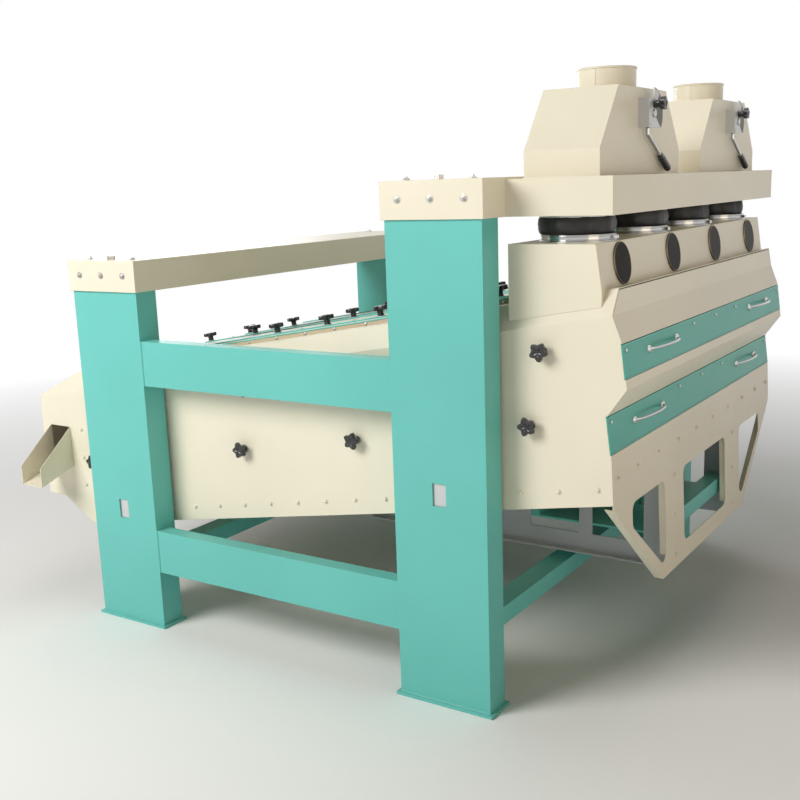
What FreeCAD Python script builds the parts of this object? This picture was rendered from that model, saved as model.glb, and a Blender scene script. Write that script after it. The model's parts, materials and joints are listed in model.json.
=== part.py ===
# Gyratory sifter with two screen drawers, hung in a frame of four posts.
# Millimetres, +Z up, origin on the floor under the middle of the machine; the feed end is at +X.

import FreeCAD, Part
import math
import os
import re
import Sketcher

V = FreeCAD.Vector

# Driving sizes: alias, value, meaning
SIZES = [
    ("post_width", 346, "post face along the machine"),
    ("post_depth", 100, "post across the machine"),
    ("post_wall", 5, "sheet of posts and cap beams"),
    ("feed_post_x", 722, "middle of the feed-end posts"),
    ("outlet_post_x", -758, "middle of the outlet-end posts"),
    ("frame_half", 1006, "outer face of the posts from the middle plane"),
    ("feed_post_rise", 616, "top of the feed-end posts above the flat part of the sieve's sides"),
    ("outlet_post_rise", 360, "top of the outlet-end posts above the flat part of the sieve's sides"),
    ("beam_drop", 113, "how far a cap beam reaches down over its posts"),
    ("beam_margin", 9, "cap beam proud of the posts"),
    ("foot_thick", 10, "foot plate"),
    ("foot_margin", 12, "foot plate proud of the post"),
    ("rail_height", 172, "side rails"),
    ("rail_depth", 60, "side rails across the machine"),
    ("rail_inset", 3, "side rail behind the post's face"),
    ("upper_rail_z", 987, "underside of the upper side rails"),
    ("lower_rail_z", 234, "underside of the lower side rails"),
    ("cross_height", 64, "low cross tubes"),
    ("cross_width", 80, "low cross tubes along the machine"),
    ("cross_z", 256, "underside of the low cross tubes"),
    ("cross_from_post", 30, "low cross tube from the inner edge of its post"),
    ("window_width", 50, "window in a post"),
    ("window_height", 76, "window in a post"),
    ("bolt_radius", 8, "cap bolts"),
    ("bolt_pitch", 118, "cap bolts along the beam's end"),
    ("platform_length", 344, "feed platform along the machine"),
    ("inlet_shift", 17, "hoppers and sleeves from the platform's middle, back along the machine"),
    ("box_inset", 18, "feed platform and feed box inside the sieve's sides"),
    ("platform_height", 112, "feed platform"),
    ("platform_wall", 4, "sheet of the platform and the hoppers"),
    ("hopper_length", 246, "hopper along the machine"),
    ("hopper_margin", 62.5, "foot of a hopper from the platform's side"),
    ("hopper_run_in", 141, "sloped side of a hopper, across"),
    ("hopper_skirt", 80, "upright part of a hopper"),
    ("hopper_height", 265, "whole hopper"),
    ("spigot_radius", 93, "outside of the inlet spigot"),
    ("spigot_wall", 3, "inlet spigot"),
    ("spigot_height", 68, "inlet spigot above the hopper"),
    ("sleeve_edge", 177, "middle of an outer sleeve from the side of the feed box"),
    ("sleeve_radius", 112, "outside of a sleeve"),
    ("sleeve_wall", 5, "sleeve"),
    ("collar_radius", 115, "outside of a bright collar"),
    ("collar_wall", 3, "bright collar"),
    ("collar_height", 22, "bright collar"),
    ("collar_rim", 8, "flange of a bright collar"),
    ("inlet_radius", 96, "round holes that the product falls through"),
    ("running_gap", 0.5, "between pieces that move past each other"),
    ("rope_gap", 4, "rope's upper end to its anchor"),
    ("shaft_fit", 0.05, "radial clearance of a shaft in its bore"),
    ("throw", 6.5, "radius of the sieve's circle"),
    ("deck_slope", 9.8, "incline of the sieve, degrees"),
    ("post_gap", 15, "sieve's sides to the posts"),
    ("sieve_wall", 3, "sheet of the sieve"),
    ("floor_z", 520, "underside of the sieve at the middle of the machine"),
    ("side_height", 577, "flat part of a side, upright"),
    ("shoulder_rise", 76, "sloped shoulder, upright"),
    ("shoulder_inset", 50, "sloped shoulder, across"),
    ("flange_width", 150, "flat top flange of a side"),
    ("hood_x", -1085, "where the outlet hood starts"),
    ("outlet_end_x", -1355, "far end of the outlet hood"),
    ("feed_end_x", 1256, "top corner of the feed end"),
    ("feed_box_back", 154.5, "rear of the feed box behind the middle of its inlets"),
    ("sleeve_space", 82, "top of the feed box below the platform"),
    ("feed_box_nose", 130.5, "top front edge of the feed box before the middle of its inlets"),
    ("feed_box_lean", 20, "front of the feed box, forward at its foot"),
    ("feed_box_seat", 20, "deck under the edge of the feed box"),
    ("glass_radius", 64, "sight glass"),
    ("glass_rim", 8, "sight glass around its hole"),
    ("glass_thick", 5, "sight glass"),
    ("strip_x", 1287, "top edge of the upper drawer front"),
    ("strip_rise", 136, "top edge of the upper drawer front above the flat part of the sides"),
    ("upper_front", 106, "height of the upper drawer front"),
    ("lip_height", 29, "upright part of the lip"),
    ("undercut_drop", 85, "undercut below the lip, upright"),
    ("undercut_depth", 61, "undercut below the lip, along the machine"),
    ("lower_front", 119, "height of the lower drawer front"),
    ("lip_ledge", 45, "ledge of the lip under the upper drawer"),
    ("end_lean", 7, "lean of the drawer fronts, degrees"),
    ("strip_wall", 4, "drawer fronts"),
    ("strip_gap", 2, "drawer front to the panels above and below"),
    ("hood_end_z", 870, "top of the hood's end"),
    ("hood_foot_z", 434, "bottom of the hood's end"),
    ("hood_roof", 78, "part of the hood's roof along the deck"),
    ("hood_base", 100, "flat foot of the hood, along the machine"),
    ("handle_rise", 8, "pull handle above the middle of its strip"),
    ("apron_lean", 2.4, "lean of the apron, degrees"),
    ("apron_shoulder_z", 724, "where the apron's sides start to run in"),
    ("apron_foot_z", 366, "lower edge of the apron"),
    ("apron_foot_margin", 133, "lower edge of the apron beyond the keel plates"),
    ("rib_y", 342, "keel plates and the apron's ribs from the middle plane"),
    ("rib_width", 190, "solid rib of the apron between two windows"),
    ("sill_z", 432, "lower edge of the apron's windows"),
    ("head_z", 705, "upper edge of the apron's windows"),
    ("side_window_rise", 34.6, "outer lower corner of the apron's side windows above its sloped edge"),
    ("side_window_foot", 390, "lowest corner of the apron's side windows"),
    ("side_window_heel", 626, "outer lower corner of the apron's side windows"),
    ("window_corner", 32, "round corners of the apron's windows"),
    ("keel_wall", 6, "keel plates"),
    ("keel_left_x", -60, "outlet end of the keel plates"),
    ("keel_step", 60, "corner of a keel plate at its outlet end"),
    ("keel_margin", 70, "keel plate above and below its windows"),
    ("keel_window_x", 720, "first window of a keel plate"),
    ("keel_window", 195, "window of a keel plate, along the machine"),
    ("keel_web", 50, "keel plate between its windows"),
    ("screen_drop", 217, "deck to upper screen, upper screen to lower screen"),
    ("screen_frame_height", 50, "screen frame"),
    ("screen_frame_bar", 40, "bars of a screen frame"),
    ("bridge_height", 30, "bar that joins a drawer front to its screen frame"),
    ("screen_gap", 8, "screen frame to each side panel"),
    ("screen_wall", 2, "screen"),
    ("screen_edge", 10, "screen inside the outline of its frame"),
    ("drawer_back", 60, "screen frames from the hood"),
    ("runner_width", 30, "runners that carry a screen frame"),
    ("runner_height", 20, "runners that carry a screen frame"),
    ("runner_end", 40, "runners behind the lower drawer front"),
    ("handle_y", 555, "pull handles from the middle plane"),
    ("handle_length", 240, "pull handle"),
    ("handle_reach", 38, "pull handle in front of its strip"),
    ("handle_bar", 12, "pull handle bar"),
    ("cover_margin", 11, "top covers inside the side flanges"),
    ("cover_inner", 60, "inner edge of a top cover from the middle plane"),
    ("cover_rise", 18, "top cover above the deck"),
    ("cover_slant", 20, "sloped side of a top cover, across"),
    ("cover_seat", 40, "deck under the edge of a top cover"),
    ("cover_left_x", -1075, "outlet end of the top covers"),
    ("cover_gap", 41, "feed end of the top covers to the feed box"),
    ("bar_width", 60, "clamp bars on the top covers"),
    ("bar_thick", 5, "clamp bars on the top covers"),
    ("bar_inset", 80, "middle of a clamp bar from the edge of its cover"),
    ("knob_radius", 31, "star knob, over its lobes"),
    ("knob_waist", 24, "star knob, between its lobes"),
    ("knob_thick", 16, "star knob head"),
    ("knob_stem", 22, "star knob neck"),
    ("knob_neck", 11, "radius of a star knob's neck"),
    ("outer_knob_x", 738, "first knob of the outer top rows"),
    ("outer_knob_pitch", 246, "knobs of the outer top rows"),
    ("inner_knob_x", 626, "first knob of the inner top rows"),
    ("inner_knob_pitch", 278, "knobs of the inner top rows"),
    ("side_knob_x", 991, "first knob along the sides"),
    ("side_knob_middle", 321, "second knob along the sides"),
    ("side_knob_pitch", 518, "further knobs along the sides"),
    ("side_knob_end", 1347, "last knob along the sides from the second one"),
    ("side_knob_shift", 42, "upper row of side knobs, further up the slope"),
    ("upper_knob_drop", 77, "upper row of side knobs below the shoulders"),
    ("lower_knob_row", 272, "lower row of side knobs above the sieve's underside"),
    ("chute_width", 125, "side chute along the machine"),
    ("chute_x", -1305, "outlet side of a side chute"),
    ("chute_reach", 173, "side chute out of the sieve's side"),
    ("chute_top_z", 745, "top of a side chute at the hood"),
    ("chute_foot_z", 574, "bottom of a side chute at the hood"),
    ("chute_lip_z", 600, "top of a side chute at its mouth"),
    ("chute_mouth_z", 520, "bottom of a side chute at its mouth"),
    ("drive_x", 450, "axis of the eccentric wheel"),
    ("motor_x", 990, "axis of the motor"),
    ("drive_plate_z", 470, "underside of the drive plate"),
    ("drive_plate_thick", 8, "drive plate"),
    ("plate_tail", 390, "drive plate from the wheel's axis towards the outlet"),
    ("plate_nose", 250, "drive plate from the motor's axis towards the feed end"),
    ("plate_gap", 5, "drive plate around the shafts"),
    ("member_width", 60, "cross members on the drive plate"),
    ("member_height", 50, "cross members on the drive plate"),
    ("wheel_radius", 170, "eccentric wheel"),
    ("wheel_height", 46, "eccentric wheel and motor pulley"),
    ("wheel_gap", 14, "eccentric wheel below the drive plate"),
    ("weight_height", 16, "sector weight under the eccentric wheel"),
    ("weight_margin", 15, "sector weight inside the rim and off the shaft"),
    ("shaft_radius", 25, "eccentric wheel's shaft"),
    ("housing_radius", 62, "bearing housing"),
    ("housing_height", 96, "bearing housing"),
    ("housing_cap", 12, "closed end and flange of the bearing housing"),
    ("flange_reach", 20, "flanges of the bearing housing and the motor"),
    ("pulley_radius", 65, "motor pulley"),
    ("motor_radius", 90, "motor"),
    ("motor_height", 170, "motor above the drive plate"),
    ("motor_shaft_radius", 12, "motor shaft"),
    ("motor_bore", 59, "depth of the motor's bore"),
    ("motor_box", 80, "terminal box on the motor"),
    ("motor_box_reach", 30, "terminal box out of the motor"),
    ("groove_depth", 9, "belt grooves"),
    ("groove_width", 12, "belt grooves"),
    ("groove_pitch", 20, "belt grooves, one above the other"),
    ("belt_gap", 0.5, "belt to its groove"),
    ("rope_radius", 7, "suspension rope"),
    ("arm_width", 44, "hanger arm along the machine"),
    ("arm_thick", 20, "hanger arm"),
    ("arm_rise", 85, "hanger arm above the sieve's underside"),
    ("arm_plate", 90, "plate of a hanger arm, to each side and up"),
    ("arm_plate_thick", 6, "plate of a hanger arm"),
    ("slot_gap", 10, "slot of a post around its hanger arm"),
    ("nut_radius", 16, "nuts of the rope anchors"),
    ("nut_height", 14, "nuts of the rope anchors"),
    ("damper_rise", 186, "damper shaft above the feed platform"),
    ("damper_shaft_radius", 9, "damper shaft"),
    ("blade_thick", 3, "damper blade"),
    ("blade_half", 78, "damper blade to each side of its shaft"),
    ("bracket_size", 88, "damper bracket"),
    ("bracket_depth", 36, "damper bracket out of the hopper"),
    ("lever_radius", 7, "damper lever"),
    ("hub_gap", 9, "lever's hub from the hopper"),
    ("lever_drop", 49, "straight part of the lever below its hub"),
    ("lever_length", 126, "bent part of the lever"),
    ("lever_bend", 61, "bend of the lever, degrees"),
    ("grip_radius", 12, "lever grip"),
    ("grip_length", 98, "lever grip"),
    ("quadrant_radius", 75, "edge of a damper's quadrant from its shaft"),
    ("shaft_end", 4, "damper shaft in front of its bracket"),
    ("lock_knob_rise", 28, "lock knob above the damper shaft"),
    ("lock_knob_radius", 22, "lock knob, over its lobes"),
    ("over", 1, "how far a cutter runs past a face"),
    ("clear_cut", 10, "how far a cutter runs past an open side"),
]

doc = FreeCAD.newDocument("gyratory_sifter")
sheet = doc.addObject("Spreadsheet::Sheet", "sizes")
for row, (alias, value, meaning) in enumerate(SIZES, start=1):
    sheet.set("A%d" % row, alias)
    sheet.set("B%d" % row, str(value))
    sheet.set("C%d" % row, meaning)
    sheet.setAlias("B%d" % row, alias)
doc.recompute()
ALIASES = {alias for alias, value, meaning in SIZES}
nodes = []

# Sizes that follow from others
DERIVED = {
    "sieve_half": "frame_half - post_depth - post_gap",
    "box_half": "sieve_half - box_inset",
    "sleeve_pitch": "(box_half - sleeve_edge) / 1.5",
    "cover_outer": "sieve_half - shoulder_inset - flange_width - cover_margin",
    "apron_foot_half": "rib_y + apron_foot_margin",
    "window_part": "(side_window_heel - side_window_rise - apron_foot_z) / (apron_shoulder_z - apron_foot_z)",
    "side_window_edge": "apron_foot_half + (sieve_half - sieve_wall - apron_foot_half) * window_part",
    "knee_z": "floor_z + side_height",
    "deck_z": "knee_z + shoulder_rise",
    "strip_z": "knee_z + strip_rise",
    "upper_knob_row": "side_height - upper_knob_drop",
    "feed_post_top": "knee_z + feed_post_rise",
    "outlet_post_top": "knee_z + outlet_post_rise",
    "beam_face": "feed_post_x + post_width / 2 + beam_margin",
    "platform_z": "feed_post_top - beam_drop",
    "platform_top": "platform_z + platform_height",
    "inlet_x": "beam_face + platform_length / 2 - inlet_shift",
    "sieve_x": "inlet_x + throw",
    "hopper_face": "inlet_x + hopper_length / 2",
    "hopper_foot": "box_half - sleeve_pitch - hopper_margin",
    "damper_z": "platform_top + damper_rise",
    "feed_box_x": "sieve_x - feed_box_back",
    "feed_box_front": "sieve_x + feed_box_nose",
    "feed_box_foot": "feed_box_front + feed_box_lean",
    "feed_box_top": "platform_z - sleeve_space",
    "cover_right_x": "feed_box_x - cover_gap",
    "wheel_z": "drive_plate_z - wheel_gap - wheel_height",
}


def tied(text):
    """The expression with each derived size written out and each alias read from the sheet."""
    def written(word):
        """A derived size in brackets, an alias as a cell of the sheet, any other word as it is."""
        name = word.group()
        if name in DERIVED:
            return "(%s)" % tied(DERIVED[name])
        return "sizes." + name if name in ALIASES else name
    return re.sub("[a-z][a-z_]*", written, text)


def bind(thing, **rules):
    """Tie properties to expressions; a double underscore stands for a dot."""
    for path, text in rules.items():
        thing.setExpression(path.replace("__", "."), tied(text))


def keep(label, thing):
    """Name a finished sub-part and remember it for writing."""
    thing.Label = label
    nodes.append(thing)
    return thing


def block(x, y, z):
    """A box between two limits on each axis."""
    box = doc.addObject("Part::Box", "box")
    bind(box, Length="(%s) - (%s)" % (x[1], x[0]), Width="(%s) - (%s)" % (y[1], y[0]),
         Height="(%s) - (%s)" % (z[1], z[0]),
         Placement__Base__x=x[0], Placement__Base__y=y[0], Placement__Base__z=z[0])
    return box


def rod(radius, length, x, y, z, axis=(0, 0, 1)):
    """A cylinder from a point along an axis."""
    part = doc.addObject("Part::Cylinder", "rod")
    part.Placement = FreeCAD.Placement(V(), FreeCAD.Rotation(V(0, 0, 1), V(*axis)))
    bind(part, Radius=radius, Height=length, Placement__Base__x=x, Placement__Base__y=y, Placement__Base__z=z)
    return part


def nut(radius, height, x, y, z, axis=(0, 0, 1)):
    """A hexagonal prism from a point along an axis."""
    part = doc.addObject("Part::Prism", "nut")
    part.Polygon = 6
    part.Placement = FreeCAD.Placement(V(), FreeCAD.Rotation(V(0, 0, 1), V(*axis)))
    bind(part, Circumradius=radius, Height=height,
         Placement__Base__x=x, Placement__Base__y=y, Placement__Base__z=z)
    return part


def cut(base, *tools):
    """The base less each tool."""
    for tool in tools:
        less = doc.addObject("Part::Cut", "cut")
        less.Base, less.Tool = base, tool
        base = less
    return base


def joined(*parts):
    """Several solids welded into one."""
    weld = doc.addObject("Part::MultiFuse", "weld")
    weld.Shapes = list(parts)
    return weld


def common(first, second):
    """What two solids share."""
    part = doc.addObject("Part::MultiCommon", "common")
    part.Shapes = [first, second]
    return part


def group(*parts):
    """Separate solids kept together as one node."""
    several = doc.addObject("Part::Compound", "group")
    several.Links = list(parts)
    return several


def mirrored(source):
    """The same piece on the far side of the middle plane."""
    copy = doc.addObject("Part::Mirroring", "mirrored")
    copy.Source = source
    copy.Normal = V(0, 1, 0)
    return copy


def keep_pair(label, near):
    """A near piece and its mirror image on the far side, as one node."""
    keep(label, group(near, mirrored(near)))


def loop(sketch, outline):
    """A closed outline whose corners are tied to expressions."""
    first = sketch.GeometryCount
    count = len(outline)
    turn = 2 * math.pi / count
    guess = [V(math.cos(turn * i), math.sin(turn * i), 0) * 100 for i in range(count)]
    for i in range(count):
        sketch.addGeometry(Part.LineSegment(guess[i], guess[(i + 1) % count]), False)
    for i in range(count):
        sketch.addConstraint(Sketcher.Constraint("Coincident", first + i, 2, first + (i + 1) % count, 1))
    for i, corner in enumerate(outline):
        for kind, value, text in (("DistanceX", guess[i].x, corner[0]), ("DistanceY", guess[i].y, corner[1])):
            number = sketch.addConstraint(Sketcher.Constraint(kind, -1, 1, first + i, 1, value))
            sketch.setExpression("Constraints[%d]" % number, tied(text))


def sketched(plane, outlines, thickness, symmetric=True):
    """A body with one sketch on an origin plane, padded both ways or forwards."""
    body = doc.addObject("PartDesign::Body", "body")
    sketch = body.newObject("Sketcher::SketchObject", "sketch")
    support = next(item for item in body.Origin.OriginFeatures if item.Role == plane)
    sketch.AttachmentSupport = [(support, "")]
    sketch.MapMode = "FlatFace"
    for outline in outlines:
        loop(sketch, outline)
    pad = body.newObject("PartDesign::Pad", "pad")
    pad.Profile = sketch
    if symmetric:
        pad.SideType = "Symmetric"
    bind(pad, Length=thickness)
    return body


def slope(x, height):
    """Height of a line parallel to the deck, at a place along the machine."""
    return "((%s) + tan(deck_slope) * (%s))" % (height, x)


def end_x(edge):
    """Place along the machine of an edge of the feed end, counted down from the upper drawer front."""
    drops = {"front": "0", "lip": "upper_front", "foot": "upper_front + lip_height"}
    return "strip_x + tan(end_lean) * (%s)" % drops[edge]


LIP_Z = "(strip_z - upper_front)"
LIP_FOOT_Z = "(strip_z - upper_front - lip_height)"
LOWER_Z = "(strip_z - upper_front - lip_height - undercut_drop)"
APRON_Z = "(strip_z - upper_front - lip_height - undercut_drop - lower_front)"
LOWER_X = "(strip_x + tan(end_lean) * (upper_front + lip_height) - undercut_depth)"
APRON_X = "(strip_x + tan(end_lean) * (upper_front + lip_height + lower_front) - undercut_depth)"
SHOULDER_X = "(%s + tan(apron_lean) * (%s - apron_shoulder_z))" % (APRON_X, APRON_Z)
APRON_FOOT_X = "(%s + tan(apron_lean) * (%s - apron_foot_z))" % (APRON_X, APRON_Z)
UPPER_Z = "(deck_z - screen_drop)"
LOWER_SCREEN_Z = "(deck_z - 2 * screen_drop)"
GLASS_Z = "(feed_box_top + %s) / 2" % slope("feed_box_foot", "deck_z")
POSTS = (("feed", "feed_post_x", "feed_post_top"), ("outlet", "outlet_post_x", "outlet_post_top"))
INLETS = (-1.5, -0.5, 0.5, 1.5)


def post(middle, top):
    """A hollow post with a window outside and a slot inside for its hanger arm."""
    low, high = "%s - post_width / 2" % middle, "%s + post_width / 2" % middle
    outer, inner = "-frame_half", "-frame_half + post_depth"
    shell = sketched("XY_Plane", [
        [(low, outer), (high, outer), (high, inner), (low, inner)],
        [(low + " + post_wall", outer + " + post_wall"), (high + " - post_wall", outer + " + post_wall"),
         (high + " - post_wall", inner + " - post_wall"), (low + " + post_wall", inner + " - post_wall")]],
        "%s - foot_thick" % top, symmetric=False)
    bind(shell, Placement__Base__z="foot_thick")
    arm_z = slope(middle, "floor_z + arm_rise")
    window = block(("%s - window_width / 2" % middle, "%s + window_width / 2" % middle),
                   ("-frame_half - post_wall", "-frame_half + 2 * post_wall"),
                   ("%s - window_height / 2" % arm_z, "%s + window_height / 2" % arm_z))
    reach = "(arm_width / 2 + 2 * throw + slot_gap)"
    slot = block(("%s - %s - throw" % (middle, reach), "%s + %s" % (middle, reach)),
                 (inner + " - 2 * post_wall", inner + " + post_wall"),
                 ("%s - arm_thick * 1.5" % arm_z, "%s + arm_thick * 1.5" % arm_z))
    return cut(shell, window, slot)


def foot(middle):
    """The plate under a post."""
    return block(("%s - post_width / 2 - foot_margin" % middle, "%s + post_width / 2 + foot_margin" % middle),
                 ("-frame_half - foot_margin", "-frame_half + post_depth + foot_margin"), ("0", "foot_thick"))


def cap_beam(middle, top):
    """An inverted channel with closed ends that sits over two post tops."""
    grow = "(post_width / 2 + beam_margin)"
    outer = block(("%s - %s" % (middle, grow), "%s + %s" % (middle, grow)),
                  ("-frame_half - beam_margin", "frame_half + beam_margin"),
                  ("%s - beam_drop" % top, "%s + post_wall" % top))
    inner = block(("%s - %s + post_wall" % (middle, grow), "%s + %s - post_wall" % (middle, grow)),
                  ("-frame_half - beam_margin + post_wall", "frame_half + beam_margin - post_wall"),
                  ("%s - beam_drop - post_wall" % top, top))
    radius, low = "rope_radius + 2 * running_gap", "%s - post_wall" % top
    holes = [rod(radius, "3 * post_wall", middle, sign + "(frame_half - post_depth / 2)", low)
             for sign in ("-", "")]
    return cut(outer, inner, *holes)


def cap_bolts(middle, top):
    """Three hex bolts on each end of a cap beam."""
    bolts = []
    for step in (-1, 0, 1):
        place = "%s + %d * bolt_pitch" % (middle, step)
        height = "%s - beam_drop / 2 + post_wall" % top
        bolts.append(nut("bolt_radius", "bolt_radius", place, "-frame_half - beam_margin", height,
                         axis=(0, -1, 0)))
    return group(*(bolts + [mirrored(bolt) for bolt in bolts]))


def tube(x, y, z, run):
    """A rectangular tube that is open along one axis."""
    inner = []
    for axis, (low, high) in zip("xyz", (x, y, z)):
        past, within = (low + " - over", high + " + over"), (low + " + post_wall", high + " - post_wall")
        inner.append(past if axis == run else within)
    return cut(block(x, y, z), block(*inner))


def frame_parts():
    """Posts, feet, cap beams, rails and cross tubes."""
    feet, bolts = [], []
    for label, middle, top in POSTS:
        keep_pair(label + "_posts", post(middle, top))
        feet.append(foot(middle))
        keep(label + "_cap_beam", cap_beam(middle, top))
        bolts.append(cap_bolts(middle, top))
    keep("foot_plates", group(*(feet + [mirrored(plate) for plate in feet])))
    keep("cap_bolts", group(*bolts))
    between = ("outlet_post_x + post_width / 2", "feed_post_x - post_width / 2")
    across = ("-frame_half + rail_inset", "-frame_half + rail_inset + rail_depth")
    for label, low in (("upper_side_rails", "upper_rail_z"), ("lower_side_rails", "lower_rail_z")):
        keep_pair(label, tube(between, across, (low, low + " + rail_height"), "x"))
    cross = ("-frame_half + post_depth", "frame_half - post_depth")
    tall = ("cross_z", "cross_z + cross_height")
    feed_edge = "feed_post_x + post_width / 2 - cross_from_post"
    outlet_edge = "outlet_post_x + post_width / 2"
    tubes = [tube((edge + " - cross_width", edge), cross, tall, "y") for edge in (feed_edge, outlet_edge)]
    keep("cross_tubes", group(*tubes))


def platform():
    """The hollow platform that passes the product from two hoppers to four sleeves."""
    low, high = "beam_face", "beam_face + platform_length"
    outer = block((low, high), ("-box_half", "box_half"), ("platform_z", "platform_top"))
    inner = block((low + " + platform_wall", high + " - platform_wall"),
                  ("-box_half + platform_wall", "box_half - platform_wall"),
                  ("platform_z + platform_wall", "platform_top - platform_wall"))
    tools = [inner]
    length, width = "(hopper_length / 2 - platform_wall)", "(hopper_foot - platform_wall)"
    for sign in ("-", ""):
        across = ("%ssleeve_pitch - %s" % (sign, width), "%ssleeve_pitch + %s" % (sign, width))
        tools.append(block(("inlet_x - " + length, "inlet_x + " + length), across,
                           ("platform_top - 2 * platform_wall", "platform_top + platform_wall")))
    for step in INLETS:
        place = "%s * sleeve_pitch" % step
        tools.append(rod("inlet_radius", "3 * platform_wall", "inlet_x", place, "platform_z - platform_wall"))
    return cut(outer, *tools)


def hopper():
    """The near hopper: an upright skirt, sides that run in, and a round opening on top."""
    base, top = "hopper_foot", "(hopper_foot - hopper_run_in)"
    low, knee, high = "platform_top", "platform_top + hopper_skirt", "platform_top + hopper_height"

    def outline(inset, down, drop):
        """The hopper's outline, set in by a sheet, run on below and stopped short of the roof."""
        right = [("%s - %s" % (base, inset), "%s - %s" % (low, down)), ("%s - %s" % (base, inset), knee),
                 ("%s - %s" % (top, inset), "%s - %s" % (high, drop))]
        left = [("-(%s)" % y, z) for y, z in reversed(right)]
        return [("-sleeve_pitch + (%s)" % y, z) for y, z in right + left]

    outer = sketched("YZ_Plane", [outline("0", "0", "0")], "hopper_length")
    inner = sketched("YZ_Plane", [outline("platform_wall", "over", "platform_wall")],
                     "hopper_length - 2 * platform_wall")
    for part in (outer, inner):
        bind(part, Placement__Base__x="inlet_x")
    mouth = rod("spigot_radius - spigot_wall", "3 * platform_wall", "inlet_x", "-sleeve_pitch",
                high + " - 2 * platform_wall")
    bore = rod("damper_shaft_radius + shaft_fit", "3 * platform_wall", "hopper_face - 2 * platform_wall",
               "-sleeve_pitch", "damper_z", axis=(1, 0, 0))
    return cut(outer, inner, mouth, bore)


def spigot():
    """The round inlet on the near hopper."""
    high = "platform_top + hopper_height"
    pipe = rod("spigot_radius", "spigot_height", "inlet_x", "-sleeve_pitch", high)
    bore = rod("spigot_radius - spigot_wall", "spigot_height + 2 * over", "inlet_x", "-sleeve_pitch",
               high + " - over")
    return cut(pipe, bore)


def damper_bracket():
    """The boxed bracket that carries the damper shaft outside the near hopper."""
    front = "hopper_face + bracket_depth"
    outer = block(("hopper_face", front),
                  ("-sleeve_pitch - bracket_size / 2", "-sleeve_pitch + bracket_size / 2"),
                  ("damper_z - bracket_size / 2", "damper_z + bracket_size / 2"))
    hollow = block(("hopper_face - over", front + " - platform_wall"),
                   ("-sleeve_pitch - bracket_size / 2 + platform_wall", "-sleeve_pitch + bracket_size"),
                   ("damper_z - bracket_size", "damper_z + bracket_size / 2 - platform_wall"))
    bore = rod("damper_shaft_radius + shaft_fit", "3 * platform_wall", front + " - 2 * platform_wall",
               "-sleeve_pitch", "damper_z", axis=(1, 0, 0))
    disc = rod("quadrant_radius", "platform_wall", front + " - platform_wall", "-sleeve_pitch", "damper_z",
               axis=(1, 0, 0))
    limit = block(("hopper_face", front + " + over"),
                  ("-sleeve_pitch", "-sleeve_pitch + quadrant_radius + over"),
                  ("damper_z - bracket_size / 2", "damper_z + quadrant_radius + over"))
    return cut(joined(cut(outer, hollow), common(disc, limit)), bore)


def damper(side):
    """Shaft with hub, butterfly blade, cranked lever and grip of one damper; side is -1 near, 1 far."""
    name = "near" if side < 0 else "far"
    middle = "(%s sleeve_pitch)" % ("-" if side < 0 else "")
    start = "(inlet_x - blade_half)"
    outside = "(hopper_face + hub_gap + lever_radius)"
    reach = "(hopper_face + bracket_depth + shaft_end - %s)" % start
    shaft = rod("damper_shaft_radius", reach, start, middle, "damper_z", axis=(1, 0, 0))
    disc = rod("blade_half", "blade_thick", "inlet_x", middle, "damper_z - blade_thick / 2")
    keep("damper_shaft_" + name, joined(shaft, disc))
    hub = rod("2 * lever_radius", "2 * lever_radius", "hopper_face + hub_gap", middle, "damper_z",
              axis=(1, 0, 0))
    bend = FreeCAD.Rotation(V(1, 0, 0), 180)
    knee = "(damper_z - 2 * lever_radius - lever_drop)"
    straight = rod("lever_radius", "lever_drop + lever_radius", outside, middle, knee)
    ball = doc.addObject("Part::Sphere", "ball")
    bind(ball, Radius="lever_radius",
         Placement__Base__x=outside, Placement__Base__y=middle, Placement__Base__z=knee)
    bent = rod("lever_radius", "lever_length", outside, middle, knee)
    bent.Placement.Rotation = bend
    bind(bent, Placement__Rotation__Angle="180 + lever_bend")
    bore = rod("damper_shaft_radius", reach, start, middle, "damper_z", axis=(1, 0, 0))
    keep("damper_lever_" + name, cut(joined(hub, straight, ball, bent), bore))
    grip = rod("grip_radius", "grip_length", outside, middle, knee)
    grip.Placement.Rotation = bend
    bind(grip, Placement__Rotation__Angle="180 + lever_bend",
         Placement__Base__y="%s + sin(lever_bend) * lever_length" % middle,
         Placement__Base__z="%s - cos(lever_bend) * lever_length" % knee)
    keep("damper_grip_" + name, grip)


def star(radius, x, y, z, axis=(0, 0, 1), lean=False, neck_shape=None):
    """A star knob on a point: a neck and a head with five lobes; lean stands it square to the deck."""
    count = 10
    outline = []
    for i in range(count):
        reach = radius if i % 2 == 0 else "%s * knob_waist / knob_radius" % radius
        outline.append(("cos(%d) * %s" % (36 * i, reach), "sin(%d) * %s" % (36 * i, reach)))
    head = sketched("XY_Plane", [outline], "knob_thick", symmetric=False)
    neck = (neck_shape or nut)("knob_neck", "knob_stem + knob_thick / 2", x, y, z, axis)
    way = ("-sin(deck_slope)", "0", "cos(deck_slope)") if lean else ["%d" % part for part in axis]
    offset = ["%s + %s * knob_stem" % (place, part) for place, part in zip((x, y, z), way)]
    head.Placement = FreeCAD.Placement(V(), FreeCAD.Rotation(V(0, 0, 1), V(*axis)))
    bind(head, Placement__Base__x=offset[0], Placement__Base__y=offset[1], Placement__Base__z=offset[2])
    if lean:
        for part in (head, neck):
            part.Placement.Rotation = FreeCAD.Rotation(V(0, -1, 0), 1)
            bind(part, Placement__Rotation__Angle="deck_slope")
    return joined(head, neck)


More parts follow.
